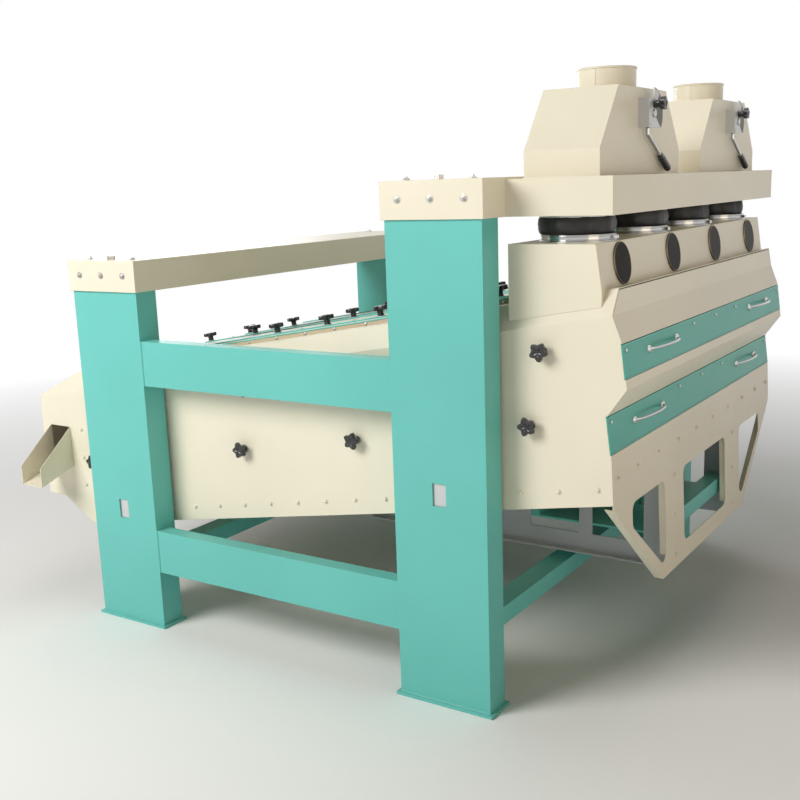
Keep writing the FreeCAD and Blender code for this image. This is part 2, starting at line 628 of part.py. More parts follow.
def lock_knob(side):
    """The star knob that clamps one damper."""
    name = "near" if side < 0 else "far"
    face = "(hopper_face + bracket_depth + running_gap)"
    middle = "%s sleeve_pitch" % ("-" if side < 0 else "")
    knob = star("lock_knob_radius", face, middle, "damper_z + lock_knob_rise", (1, 0, 0), neck_shape=rod)
    keep("lock_knob_" + name, knob)


def inlet_parts():
    """Platform, hoppers, spigots, dampers and the flexible sleeves."""
    keep("feed_platform", platform())
    keep_pair("hoppers", hopper())
    keep_pair("inlet_spigots", spigot())
    near = damper_bracket()
    far = group(near)
    bind(far, Placement__Base__y="2 * sleeve_pitch")
    keep("damper_brackets", group(near, far))
    for side in (-1, 1):
        damper(side)
        lock_knob(side)
    sleeves = []
    low = "feed_box_top + collar_height + running_gap"
    length = "platform_z - (%s)" % low
    for step in INLETS:
        place = "%s * sleeve_pitch" % step
        pipe = rod("sleeve_radius", length, "inlet_x", place, low)
        bore = rod("sleeve_radius - sleeve_wall", length + " + 2 * over", "inlet_x", place, low + " - over")
        sleeves.append(cut(pipe, bore))
    keep("feed_sleeves", group(*sleeves))


def along_deck(outlines, low, high):
    """Cross-sections at the middle of the machine, swept along the deck between two upright planes."""
    body = doc.addObject("Sketcher::SketchObject", "section")
    body.Placement = FreeCAD.Placement(V(), FreeCAD.Rotation(V(1, 1, 1), 120))
    for outline in outlines:
        loop(body, outline)
    sweep = doc.addObject("Part::Extrusion", "sweep")
    sweep.Base = body
    sweep.DirMode = "Custom"
    sweep.Dir = V(1, 0, 0)
    sweep.Solid = True
    bind(sweep, Dir__x="cos(deck_slope)", Dir__z="sin(deck_slope)",
         LengthFwd="(%s) / cos(deck_slope)" % high, LengthRev="-(%s) / cos(deck_slope)" % low)
    return sweep


def side_view(outline, half):
    """A side view of the sieve padded to both sides."""
    return sketched("XZ_Plane", [outline], "2 * (%s)" % half)


def feed_end():
    """The feed end's outline from the deck down to the floor, set back where the drawer fronts sit."""
    back = " - strip_wall - running_gap"
    return [("feed_end_x", slope("feed_end_x", "deck_z")), ("feed_end_x", slope("feed_end_x", "knee_z")),
            ("strip_x", "strip_z"), ("strip_x" + back, "strip_z"),
            (end_x("lip") + back, LIP_Z), (end_x("lip"), LIP_Z), (end_x("foot"), LIP_FOOT_Z),
            (LOWER_X, LOWER_Z), (LOWER_X + back, LOWER_Z), (APRON_X + back, APRON_Z), (APRON_X, APRON_Z),
            (SHOULDER_X, slope(SHOULDER_X, "floor_z"))]


def side_panel():
    """The near side: a folded sheet with a sloped shoulder and a flange along the deck."""
    side, bend = "-sieve_half", "-sieve_half + shoulder_inset"
    inner = bend + " + flange_width"
    section = [(side, "floor_z"), (side, "knee_z"), (bend, "deck_z"), (inner, "deck_z"),
               (inner, "deck_z - sieve_wall"), (bend + " + sieve_wall / 2", "deck_z - sieve_wall"),
               (side + " + sieve_wall", "knee_z - sieve_wall / 2"), (side + " + sieve_wall", "floor_z")]
    outline = [("hood_x", slope("hood_x", "floor_z") + " - sieve_wall"),
               ("hood_x", slope("hood_x", "deck_z") + " + sieve_wall")]
    return common(along_deck([section], "hood_x", "strip_x + 2 * lip_height"),
                  side_view(outline + feed_end(), "sieve_half + over"))


def end_sheet(corners, half):
    """A folded sheet across the sieve: the outer corners, and the same corners one sheet further in."""
    inner = [("%s - sieve_wall" % x, z) for x, z in reversed(corners)]
    return side_view(corners + inner, half)


def upper_panel():
    """The end panel above the upper drawer, narrowed to the shoulders."""
    inside = "sieve_half - sieve_wall"
    knee = slope("feed_end_x", "knee_z")
    deck = slope("feed_end_x", "deck_z")
    sheet_part = end_sheet([("feed_end_x", deck + " - sieve_wall"), ("feed_end_x", knee),
                            ("strip_x", "strip_z")], inside)
    low, high = knee + " - 2 * sieve_wall", deck + " - 2 * sieve_wall"
    half = [(inside, "strip_z - over"), (inside, low), (inside + " - shoulder_inset", high)]
    front = sketched("YZ_Plane", [half + [("-(%s)" % y, z) for y, z in reversed(half)]], "4 * strip_x")
    return common(sheet_part, front)


def lip():
    """The projecting lip between the two drawers, with its undercut."""
    back = "%s - lip_ledge" % end_x("lip")
    corners = [(back, "%s - sieve_wall" % LIP_Z), (back, LIP_Z),
               (end_x("lip"), LIP_Z), (end_x("foot"), LIP_FOOT_Z), (LOWER_X, LOWER_Z),
               (LOWER_X + " - sieve_wall", LOWER_Z),
               (end_x("foot") + " - sieve_wall", LIP_FOOT_Z + " + running_gap"),
               (end_x("lip") + " - sieve_wall", LIP_Z + " - sieve_wall")]
    return side_view(corners, "sieve_half - sieve_wall")


def apron():
    """The apron below the lower drawer with its three windows."""
    inside = "(sieve_half - sieve_wall)"
    sheet_part = end_sheet([(APRON_X, APRON_Z), (APRON_FOOT_X, "apron_foot_z")], inside)
    half = [(inside, APRON_Z + " + over"), (inside, "apron_shoulder_z"),
            ("apron_foot_half", "apron_foot_z - over")]
    front = sketched("YZ_Plane", [half + [("-" + y, z) for y, z in reversed(half)]], "4 * strip_x")
    edge = "(rib_y - rib_width / 2)"
    middle = rounded([("-" + edge, "sill_z"), (edge, "sill_z"), (edge, "head_z"), ("-" + edge, "head_z")])
    near_edge, far_edge = "(rib_y + rib_width / 2)", "side_window_edge"
    side = rounded([(near_edge, "side_window_foot"), (far_edge, "side_window_heel"),
                    (far_edge, "head_z"), (near_edge, "head_z")])
    return cut(common(sheet_part, front), middle, side, mirrored(side))


def rounded(outline):
    """A cutter through the apron with rounded corners."""
    body = sketched("YZ_Plane", [outline], "4 * strip_x")
    doc.recompute()
    pad = body.Tip
    edges = ["Edge%d" % (i + 1) for i, edge in enumerate(pad.Shape.Edges)
             if abs(edge.tangentAt(edge.FirstParameter).x) > 0.99]
    round_off = body.newObject("PartDesign::Fillet", "round_off")
    round_off.Base = (pad, edges)
    bind(round_off, Radius="window_corner")
    body.Tip = round_off
    return body


def deck():
    """The deck plate between the side flanges, open under the covers and the feed box."""
    half = "(sieve_half - shoulder_inset - flange_width)"
    low = "deck_z - sieve_wall"
    section = [("-" + half, "deck_z"), (half, "deck_z"), (half, low), ("-" + half, low)]
    plate = along_deck([section], "hood_x", "feed_end_x - sieve_wall")
    tall = ("floor_z + side_height / 2", "feed_box_top")
    along = ("cover_left_x + cover_seat", "cover_right_x - cover_seat")
    across = ("cover_inner + cover_seat", "cover_outer - cover_seat")
    tools = [block(along, across, tall), block(along, ("-(%s)" % across[1], "-(%s)" % across[0]), tall),
             block(("feed_box_x + feed_box_seat", "feed_box_front - feed_box_seat"),
                   ("-%s + feed_box_seat" % half, half + " - feed_box_seat"), tall)]
    return cut(plate, *tools)


def cover(sign):
    """One raised cover over the deck."""
    def section(inset):
        """The cover's cross-section, set in by a sheet."""
        foot, roof = "deck_z - " + inset, "deck_z + cover_rise - " + inset
        outline = [("cover_outer - " + inset, foot), ("cover_outer - cover_slant - " + inset, roof),
                   ("cover_inner + cover_slant + " + inset, roof), ("cover_inner + " + inset, foot)]
        return [("%s(%s)" % (sign, y), z) for y, z in outline]
    outer = along_deck([section("0")], "cover_left_x", "cover_right_x")
    inner = along_deck([section("sieve_wall")], "cover_left_x + sieve_wall", "cover_right_x - sieve_wall")
    return cut(outer, inner)


def clamp_bar(y):
    """A clamp bar along the top of a cover."""
    low, high = "deck_z + cover_rise", "deck_z + cover_rise + bar_thick"
    edges = "%s - bar_width / 2" % y, "%s + bar_width / 2" % y
    section = [(edges[0], low), (edges[1], low), (edges[1], high), (edges[0], high)]
    return along_deck([section], "cover_left_x + cover_slant", "cover_right_x - cover_slant")


def feed_box():
    """The feed box with its round inlets and sight holes, its sides run down onto the shoulders."""
    rear, foot = slope("feed_box_x", "knee_z"), slope("feed_box_foot", "knee_z")
    front = slope("feed_box_foot", "deck_z")
    outer = side_view([("feed_box_x", rear), ("feed_box_x", "feed_box_top"),
                       ("feed_box_front", "feed_box_top"), ("feed_box_foot", front),
                       ("feed_box_foot", foot)], "box_half")
    inner = side_view([("feed_box_x + sieve_wall", rear + " - clear_cut"),
                       ("feed_box_x + sieve_wall", "feed_box_top - sieve_wall"),
                       ("feed_box_front - sieve_wall", "feed_box_top - sieve_wall"),
                       ("feed_box_foot - sieve_wall", front),
                       ("feed_box_foot - sieve_wall", foot + " - clear_cut")], "box_half - sieve_wall")
    bend = "(sieve_half - shoulder_inset)"
    near = [("-sieve_half", "floor_z"), ("-sieve_half", "knee_z"), ("-" + bend, "deck_z")]
    far = [(bend, "deck_z"), ("sieve_half", "knee_z"), ("sieve_half", "floor_z")]
    sieve = along_deck([near + far], "feed_box_x - clear_cut", "feed_box_foot + clear_cut")
    holes = []
    for step in INLETS:
        place = "%s * sleeve_pitch" % step
        holes.append(rod("inlet_radius", "3 * sieve_wall", "sieve_x", place, "feed_box_top - 2 * sieve_wall"))
        holes.append(rod("glass_radius - glass_rim", "3 * feed_box_lean", "feed_box_front - feed_box_lean",
                         place, GLASS_Z, axis=(1, 0, 0)))
    return cut(outer, inner, sieve, *holes)

def feed_box_trim():
    """The round glasses on the feed box and the bright collars on its top."""
    glasses, collars = [], []
    lean = "atan(feed_box_lean / (feed_box_top - %s))" % slope("feed_box_foot", "deck_z")
    for step in INLETS:
        place = "%s * sleeve_pitch" % step
        glass = rod("glass_radius", "glass_thick", "feed_box_front + feed_box_lean / 2", place, GLASS_Z,
                    axis=(1, 0, 0))
        bind(glass, Placement__Rotation__Angle="90 deg - " + lean)
        glasses.append(glass)
        pipe = rod("collar_radius", "collar_height", "sieve_x", place, "feed_box_top")
        rim = rod("collar_radius + collar_rim", "collar_wall", "sieve_x", place, "feed_box_top")
        bore = rod("collar_radius - collar_wall", "collar_height + 2 * over", "sieve_x", place,
                   "feed_box_top - over")
        collars.append(cut(joined(pipe, rim), bore))
    keep("sight_glasses", group(*glasses))
    keep("inlet_collars", group(*collars))


def hood():
    """The outlet hood at the low end, open below for the fines and at both sides for the chutes."""
    def section(inset):
        """The hood's cross-section, set in by a sheet."""
        side, knee, top = "(sieve_half - %s)" % inset, "knee_z - %s / 2" % inset, "deck_z - " + inset
        in_side = "(sieve_half - shoulder_inset - %s / 2)" % inset
        return [("-" + side, "0"), (side, "0"), (side, knee), (in_side, top), ("-" + in_side, top),
                ("-" + side, knee)]

    def view(inset, open_by):
        """The hood seen from the side, set in by a sheet and run on over its open joint with the sieve."""
        left, right, roof = "outlet_end_x + " + inset, "hood_x + " + open_by, "hood_x - hood_roof"
        return [(right, slope("hood_x", "floor_z") + " - " + open_by), (right, "deck_z"), (roof, "deck_z"),
                (roof, slope(roof, "deck_z") + " - " + inset), (left, "hood_end_z - " + inset),
                (left, "hood_foot_z + " + inset), ("outlet_end_x + hood_base", "hood_foot_z + " + inset)]
    outer = common(along_deck([section("0")], "outlet_end_x", "hood_x"),
                   side_view(view("0", "0"), "sieve_half + over"))
    inside = view("sieve_wall", "clear_cut") + [("outlet_end_x + hood_base", "hood_foot_z - 2 * clear_cut")]
    inner = common(along_deck([section("sieve_wall")], "outlet_end_x", "hood_x + clear_cut"),
                   side_view(inside, "sieve_half - sieve_wall"))
    across = ("chute_x + sieve_wall", "chute_x + chute_width - sieve_wall")
    tall = ("chute_foot_z + sieve_wall", "chute_top_z")
    ports = [block(across, (side + " - clear_cut", side + " + clear_cut"), tall)
             for side in ("-sieve_half", "sieve_half")]
    return cut(outer, inner, *ports)


def chute():
    """The near side chute, open on top and at its mouth."""
    start, end = "-sieve_half", "-sieve_half - chute_reach"
    floor, mouth = "chute_foot_z + sieve_wall", "chute_mouth_z + sieve_wall"
    outer = sketched("YZ_Plane", [[(start, "chute_top_z"), (start, "chute_foot_z"), (end, "chute_mouth_z"),
                                   (end, "chute_lip_z")]], "chute_width")
    inside, outside = start + " + clear_cut", end + " - clear_cut"
    inner = sketched("YZ_Plane", [[(inside, "chute_top_z + clear_cut"), (inside, floor), (start, floor),
                                   (end, mouth), (outside, mouth), (outside, "chute_lip_z + clear_cut")]],
                     "chute_width - 2 * sieve_wall")
    for part in (outer, inner):
        bind(part, Placement__Base__x="chute_x + chute_width / 2")
    return cut(outer, inner)


def keel():
    """The near keel plate under the sieve, with two large windows."""
    low, right, knee = "apron_foot_z", APRON_FOOT_X + " - 2 * sieve_wall", SHOULDER_X + " - 2 * sieve_wall"
    plate = sketched("XZ_Plane", [[("keel_left_x", slope("keel_left_x", "floor_z")),
                                   ("keel_left_x", "floor_z - keel_step"), ("keel_left_x + keel_step", low),
                                   (right, low), (knee, slope(knee, "floor_z"))]], "keel_wall")
    tools = []
    for i in range(2):
        left = "(keel_window_x + %d * (keel_window + keel_web))" % i
        end = left + " + keel_window"
        foot, head = low + " + keel_margin", slope(left, "floor_z") + " - keel_margin"
        tools.append(sketched("XZ_Plane", [[(left, foot), (end, foot), (end, head), (left, head)]],
                              "3 * keel_wall"))
    for part in [plate] + tools:
        bind(part, Placement__Base__y="-rib_y")
    return cut(plate, *tools)


def sieve_shell():
    """Sheet-metal pieces of the sieve body."""
    keep_pair("side_panels", side_panel())
    inside = "(sieve_half - sieve_wall)"
    high = "floor_z + sieve_wall"
    section = [("-" + inside, "floor_z"), (inside, "floor_z"), (inside, high), ("-" + inside, high)]
    keep("floor_pan", along_deck([section], "hood_x", "%s - 2 * sieve_wall" % SHOULDER_X))
    keep("deck_plate", deck())
    keep("top_covers", group(cover("-"), cover("")))
    knobs, bars = [], []
    rows = [("cover_outer - bar_inset", "outer_knob", range(5)),
            ("cover_inner + bar_inset", "inner_knob", (0, 1, 2, 3, 5, 6))]
    for place, name, steps in rows:
        for y in ("-(%s)" % place, place):
            bars.append(clamp_bar(y))
            for i in steps:
                x = "(%s_x - %d * %s_pitch)" % (name, i, name)
                knobs.append(star("knob_radius", x, y, slope(x, "deck_z + cover_rise + bar_thick"), lean=True))
    keep("clamp_bars", group(*bars))
    keep("top_knobs", group(*knobs))
    sides = []
    places = ["side_knob_x", "side_knob_middle", "side_knob_middle - side_knob_pitch",
              "side_knob_middle - side_knob_end"]
    for row_height, shift in (("upper_knob_row", "side_knob_shift"), ("lower_knob_row", "0")):
        for place in places:
            x = "(%s + %s)" % (place, shift)
            z = slope(x, "floor_z + " + row_height)
            sides.append(star("knob_radius", x, "-sieve_half", z, (0, -1, 0)))
    keep("side_knobs", group(*(sides + [mirrored(knob) for knob in sides])))
    keep("feed_box", feed_box())
    feed_box_trim()
    keep("upper_end_panel", upper_panel())
    keep("drawer_lip", lip())
    keep("apron", apron())
    keep("outlet_hood", hood())
    keep_pair("side_chutes", chute())


def drawer(name, low, top_x, top_z, front):
    """One screen drawer: frame, screen, front strip and two handles."""
    half = "(sieve_half - sieve_wall - screen_gap)"
    back, fore = "hood_x + drawer_back", "%s - strip_wall" % top_x
    bar, near = "screen_frame_bar", "(screen_frame_bar / 2)"
    far = "(%s - %s)" % (half, bar)
    high = low + " + screen_frame_height"
    outer = along_deck([[("-" + half, low), (half, low), (half, high), ("-" + half, high)]], back,
                       "%s - strip_gap" % fore)
    holes = []
    foot, head = low + " - over", high + " + over"
    for side in ("-", ""):
        corners = [(side + far, foot), (side + near, foot), (side + near, head), (side + far, head)]
        holes.append(along_deck([corners], "%s + %s" % (back, bar), "%s - 2 * %s" % (fore, bar)))
    keep(name + "_drawer_frame", cut(outer, *holes))
    edge, head = half + " - screen_edge", high + " + screen_wall"
    section = [("-(%s)" % edge, high), (edge, high), (edge, head), ("-(%s)" % edge, head)]
    keep(name + "_screen", along_deck([section], back + " + screen_edge",
                                      "%s - 2 * %s + 2 * screen_edge" % (fore, bar)))
    foot_x = "(%s + tan(end_lean) * %s)" % (top_x, front)
    top, foot = "%s - strip_gap" % top_z, "%s - %s + strip_gap" % (top_z, front)
    strip = side_view([(top_x, top), (foot_x, foot), (foot_x + " - strip_wall", foot),
                       (top_x + " - strip_wall", top)], "sieve_half")
    middle = slope(top_x, low) + " + screen_frame_height / 2"
    under, above = middle + " - bridge_height / 2", middle + " + bridge_height / 2"
    bridge = side_view([(top_x, under), (top_x, above), ("%s - strip_gap" % fore, above),
                        ("%s - strip_gap" % fore, under)], half + " - screen_gap")
    keep(name + "_drawer_front", joined(strip, bridge))
    handles = []
    centre_z = "(%s - %s / 2 + handle_rise)" % (top_z, front)
    face_x = "(%s + tan(end_lean) * (%s / 2 - handle_rise))" % (top_x, front)
    tall = ("%s - handle_bar / 2" % centre_z, "%s + handle_bar / 2" % centre_z)
    deep = (face_x + " - over", face_x + " + handle_reach - handle_bar / 2")
    for sign in ("-", ""):
        ends = ("%shandle_y - handle_length / 2" % sign, "%shandle_y + handle_length / 2" % sign)
        grip = block((face_x + " + handle_reach - handle_bar", face_x + " + handle_reach"), ends, tall)
        legs = [block(deep, (ends[0], ends[0] + " + handle_bar"), tall),
                block(deep, (ends[1] + " - handle_bar", ends[1]), tall)]
        behind = side_view([(top_x, top), (foot_x, foot), (foot_x + " - 2 * clear_cut", foot),
                            (top_x + " - 2 * clear_cut", top)], "sieve_half")
        handles.append(cut(joined(grip, *legs), behind))
    keep(name + "_drawer_handles", group(*handles))


def runners():
    """Four angle rails inside the sides that carry the screen frames."""
    rails = []
    side = "-sieve_half + sieve_wall"
    edge = side + " + runner_width"
    for level in (UPPER_Z, LOWER_SCREEN_Z):
        top, foot = level + " - running_gap", level + " - running_gap - runner_height"
        rails.append(along_deck([[(side, top), (edge, top), (edge, foot), (side, foot)]],
                                "hood_x + clear_cut", LOWER_X + " - runner_end"))
    keep("screen_runners", group(*(rails + [mirrored(rail) for rail in rails])))


def drive():
    """Keels, cross members, drive plate, bearing, motor, eccentric wheel and belts."""
    keep_pair("keels", keel())
    between = ("-rib_y + keel_wall / 2", "rib_y - keel_wall / 2")
    start, end, base = "drive_x - plate_tail", "motor_x + plate_nose", "drive_plate_z + drive_plate_thick"
    members = []
    for left in (start, "(drive_x + motor_x - member_width) / 2", end + " - member_width"):
        members.append(block((left, left + " + member_width"), between, (base, base + " + member_height")))
    keep("cross_members", group(*members))
    under = "drive_plate_z - drive_plate_thick"
    tools = [rod(radius + " + plate_gap", "3 * drive_plate_thick", middle, "0", under)
             for radius, middle in (("shaft_radius", "drive_x"), ("motor_shaft_radius", "motor_x"))]
    keep("drive_plate", cut(block((start, end), between, ("drive_plate_z", base)), *tools))
    housing = joined(rod("housing_radius", "housing_height", "drive_x", "0", base),
                     rod("housing_radius + flange_reach", "housing_cap", "drive_x", "0", base))
    bore = rod("shaft_radius + shaft_fit", "housing_height - housing_cap + over", "drive_x", "0",
               base + " - over")
    keep("bearing_housing", cut(housing, bore))
    box_z = "(%s + motor_height / 2)" % base
    motor = joined(rod("motor_radius", "motor_height", "motor_x", "0", base),
                   rod("motor_radius + flange_reach", "housing_cap", "motor_x", "0", base),
                   block(("motor_x - motor_radius - motor_box_reach", "motor_x"),
                         ("-motor_box / 2", "motor_box / 2"),
                         (box_z + " - motor_box / 2", box_z + " + motor_box / 2")))
    bore = rod("motor_shaft_radius + shaft_fit", "motor_bore + over", "motor_x", "0", base + " - over")
    keep("motor", cut(motor, bore))
    rotor("eccentric_wheel", "eccentric_shaft", "drive_x", "wheel_radius", "shaft_radius",
          base + " + housing_height - housing_cap")
    rotor("motor_pulley", "motor_shaft", "motor_x", "pulley_radius", "motor_shaft_radius",
          base + " + motor_bore")
    low, tall = "wheel_z - weight_height", "weight_height + 2 * over"
    ring = cut(rod("wheel_radius - weight_margin", "weight_height", "drive_x", "0", low),
               rod("shaft_radius + weight_margin", tall, "drive_x", "0", low + " - over"))
    sector = block(("drive_x + weight_margin", "drive_x + wheel_radius"), ("-wheel_radius", "wheel_radius"),
                   (low, "wheel_z"))
    keep("balance_weight", common(ring, sector))
    keep("drive_belts", group(*[belt(groove_z(i) + " + belt_gap") for i in range(2)]))


def groove_z(i):
    """Lower face of one of the two belt grooves."""
    return "wheel_z + wheel_height / 2 + %s * groove_pitch - groove_width / 2" % (i - 0.5)


def rotor(wheel_name, shaft_name, middle, radius, shaft, bore_end):
    """A wheel with two belt grooves and its shaft, which ends just below the end of its bore."""
    grooves = []
    for i in range(2):
        inside = rod(radius + " - groove_depth", "groove_width + 2 * over", middle, "0",
                     groove_z(i) + " - over")
        grooves.append(cut(rod(radius + " + over", "groove_width", middle, "0", groove_z(i)), inside))
    wheel = rod(radius, "wheel_height", middle, "0", "wheel_z")
    bore = rod(shaft, "wheel_height + 2 * over", middle, "0", "wheel_z - over")
    keep(wheel_name, cut(wheel, *grooves, bore))
    keep(shaft_name, rod(shaft, "%s - running_gap - wheel_z" % bore_end, middle, "0", "wheel_z"))


def belt(z):
    """A flat-sided belt round the wheel and the pulley, inside their grooves."""
    ring = doc.addObject("Part::Feature", "belt")
    big = float(sheet.wheel_radius) - float(sheet.groove_depth) + float(sheet.belt_gap)
    small = float(sheet.pulley_radius) - float(sheet.groove_depth) + float(sheet.belt_gap)
    thick = float(sheet.groove_depth) - float(sheet.belt_gap)
    height = float(sheet.groove_width) - 2 * float(sheet.belt_gap)
    span = float(sheet.motor_x) - float(sheet.drive_x)

    def run(extra):
        """The outline of the belt's inner or outer face."""
        first, second = big + extra, small + extra
        angle = math.acos((first - second) / span)
        points = [V(first * math.cos(angle), first * math.sin(angle), 0),
                  V(span + second * math.cos(angle), second * math.sin(angle), 0)]
        low = [V(point.x, -point.y, 0) for point in points]
        edges = [Part.LineSegment(points[0], points[1]).toShape(),
                 Part.Arc(points[1], V(span + second, 0, 0), low[1]).toShape(),
                 Part.LineSegment(low[1], low[0]).toShape(),
                 Part.Arc(low[0], V(-first, 0, 0), points[0]).toShape()]
        return Part.Face(Part.Wire(edges))
    ring.Shape = run(thick).cut(run(0)).extrude(V(0, 0, height))
    bind(ring, Placement__Base__x="drive_x", Placement__Base__z=z)
    return ring


def suspension():
    """Hanger arms into the posts, ropes and their anchors on the cap beams."""
    arms, ropes, anchors = [], [], []
    for label, middle, top in POSTS:
        arm_z = slope(middle, "floor_z + arm_rise")
        rope_y = "-frame_half + post_depth / 2"
        across = (middle + " - arm_width / 2", middle + " + arm_width / 2")
        tall = (arm_z + " - arm_thick / 2", arm_z + " + arm_thick / 2")
        arm = block(across, (rope_y + " - arm_width / 2", "-sieve_half - arm_plate_thick"), tall)
        arms.append(cut(arm, rod("rope_radius", "2 * arm_thick", middle, rope_y, "%s - arm_thick" % arm_z)))
        arms.append(block((middle + " - arm_plate", middle + " + arm_plate"),
                          ("-sieve_half - arm_plate_thick", "-sieve_half"),
                          ("%s - arm_thick" % arm_z, "%s + arm_plate" % arm_z)))
        rope_low = "%s - 3 * arm_thick / 2" % arm_z
        rope = rod("rope_radius", "%s - post_wall - (%s)" % (top, rope_low), middle, rope_y, rope_low)
        end = nut("nut_radius", "arm_thick / 2", middle, rope_y, "%s - arm_thick" % arm_z)
        ropes.append(joined(rope, end))
        stud = rod("rope_radius", "nut_height + post_wall * 2 - rope_gap", middle, rope_y,
                   top + " - post_wall + rope_gap")
        eye = joined(nut("nut_radius", "nut_height", middle, rope_y, top + " + post_wall"), stud)
        anchors.append(eye)
    keep("hanger_arms", group(*(arms + [mirrored(arm) for arm in arms])))
    keep("suspension_ropes", group(*(ropes + [mirrored(rope) for rope in ropes])))
    keep("rope_anchors", group(*(anchors + [mirrored(anchor) for anchor in anchors])))


frame_parts()
inlet_parts()
sieve_shell()
drawer("upper", UPPER_Z, "strip_x", "strip_z", "upper_front")
drawer("lower", LOWER_SCREEN_Z, LOWER_X, LOWER_Z, "lower_front")
runners()
drive()
suspension()
doc.recompute()

for thing in doc.Objects:
    if "Invalid" in thing.State or "Error" in thing.State:
        raise RuntimeError("%s (%s) failed: %s" % (thing.Name, thing.Label, thing.State))
os.makedirs("parts", exist_ok=True)
for thing in nodes:
    if thing.Shape.isNull() or not thing.Shape.isValid() or not thing.Shape.Solids:
        raise RuntimeError(thing.Label + " has no valid solid")
    thing.Shape.exportStep("parts/%s.step" % thing.Label)
    box = thing.Shape.BoundBox
    print("%-24s %2d  x %8.1f %8.1f  y %8.1f %8.1f  z %8.1f %8.1f" % (
        thing.Label, len(thing.Shape.Solids), box.XMin, box.XMax, box.YMin, box.YMax, box.ZMin, box.ZMax))
print(len(nodes), "parts")
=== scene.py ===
import json
import logging
import math
from dataclasses import dataclass
from enum import Enum
from typing import Callable, Iterable, Sequence

import bmesh
import bpy
from mathutils import Matrix, Vector

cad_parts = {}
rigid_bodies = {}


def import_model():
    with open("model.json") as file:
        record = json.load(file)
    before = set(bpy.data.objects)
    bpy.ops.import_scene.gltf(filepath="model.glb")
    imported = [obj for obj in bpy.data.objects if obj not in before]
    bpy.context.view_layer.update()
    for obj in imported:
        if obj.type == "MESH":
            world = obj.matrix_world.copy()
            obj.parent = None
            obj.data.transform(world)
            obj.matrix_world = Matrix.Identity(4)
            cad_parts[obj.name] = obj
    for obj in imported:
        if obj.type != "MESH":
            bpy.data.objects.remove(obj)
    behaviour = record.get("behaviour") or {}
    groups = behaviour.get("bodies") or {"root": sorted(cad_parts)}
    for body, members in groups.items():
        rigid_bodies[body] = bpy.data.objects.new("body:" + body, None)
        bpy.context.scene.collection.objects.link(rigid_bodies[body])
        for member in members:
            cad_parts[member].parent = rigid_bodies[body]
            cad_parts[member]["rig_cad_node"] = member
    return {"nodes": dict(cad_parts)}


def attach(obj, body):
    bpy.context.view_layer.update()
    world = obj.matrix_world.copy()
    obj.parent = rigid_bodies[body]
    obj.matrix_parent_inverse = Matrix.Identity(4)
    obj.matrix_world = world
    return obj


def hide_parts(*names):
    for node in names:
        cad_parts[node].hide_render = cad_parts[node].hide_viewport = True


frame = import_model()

log = logging.getLogger("sifter")
Colour = tuple[float, float, float, float]
Point = tuple[float, float, float]
Flat = tuple[float, float]
Node = bpy.types.Node
Socket = bpy.types.NodeSocket
# Rise of the deck towards the feed end, and lean of the drawer fronts
DECK_ANGLE = math.radians(9.8)
FRONT_ANGLE = math.radians(7.0)
SLOPE = math.tan(DECK_ANGLE)
# Middle of each inlet across the machine
INLETS = (-0.696, -0.232, 0.232, 0.696)
# Foot of small hardware, a little inside what carries it
SEAT = -0.0005
# Colours that more than one finish uses
FLOUR = (0.62, 0.57, 0.47, 1.0)
WHITE = (1.0, 1.0, 1.0, 1.0)


class Axis(Enum):
    """Directions that hardware points in."""

    RIGHT = (1.0, 0.0, 0.0)
    NEAR = (0.0, -1.0, 0.0)
    FAR = (0.0, 1.0, 0.0)
    UP = (0.0, 0.0, 1.0)
    DOWN = (0.0, 0.0, -1.0)
    DECK = (-math.sin(DECK_ANGLE), 0.0, math.cos(DECK_ANGLE))
    STRIP = (math.cos(FRONT_ANGLE), 0.0, math.sin(FRONT_ANGLE))


# Both sides of the machine, with the way that hardware points there
SIDES = ((-1, Axis.NEAR), (1, Axis.FAR))

# Material building


class Graph:
    """A short way to add and link nodes in one tree."""

    def __init__(self, tree: bpy.types.NodeTree) -> None:
        self.tree = tree

    def add(self, kind: str, inputs: dict | None = None, **settings) -> Node:
        """Add a node.

        Args:
            kind: Node type identifier.
            inputs: Socket name or index to a value, or to an output socket to link from.
            **settings: Node properties.

        Returns:
            The new node.
        """
        node = self.tree.nodes.new(kind)
        for name, value in settings.items():
            setattr(node, name, value)
        for name, value in (inputs or {}).items():
            socket = node.inputs[name]
            if isinstance(value, Socket):
                self.link(value, socket)
            else:
                socket.default_value = value
        return node

    def link(self, start: Socket, end: Socket) -> None:
        """Link an output socket to an input socket."""
        self.tree.links.new(start, end)

    def math(self, operation: str, first, second=0.0, clamp: bool = False) -> Socket:
        """Return the result of a Math node."""
        node = self.add("ShaderNodeMath", {0: first, 1: second}, operation=operation, use_clamp=clamp)
        return node.outputs[0]

    def remap(self, value, low: float, high: float, to_low: float = 0.0, to_high: float = 1.0) -> Socket:
        """Return a value mapped from one range onto another, clamped."""
        limits = {0: value, 1: low, 2: high, 3: to_low, 4: to_high}
        return self.add("ShaderNodeMapRange", limits).outputs[0]

    def mix(self, factor, first, second) -> Socket:
        """Return two colours mixed."""
        return self.add("ShaderNodeMix", {0: factor, 6: first, 7: second}, data_type="RGBA").outputs[2]

    def noise(self, vector, scale: float, detail: float = 3.0, rough: float = 0.5,
              stretch: Point | None = None) -> Socket:
        """Return a noise value, stretched along an axis where asked."""
        if stretch:
            vector = self.add("ShaderNodeMapping", {"Vector": vector, "Scale": stretch}).outputs[0]
        settings = {"Vector": vector, "Scale": scale, "Detail": detail, "Roughness": rough}
        return self.add("ShaderNodeTexNoise", settings).outputs[0]


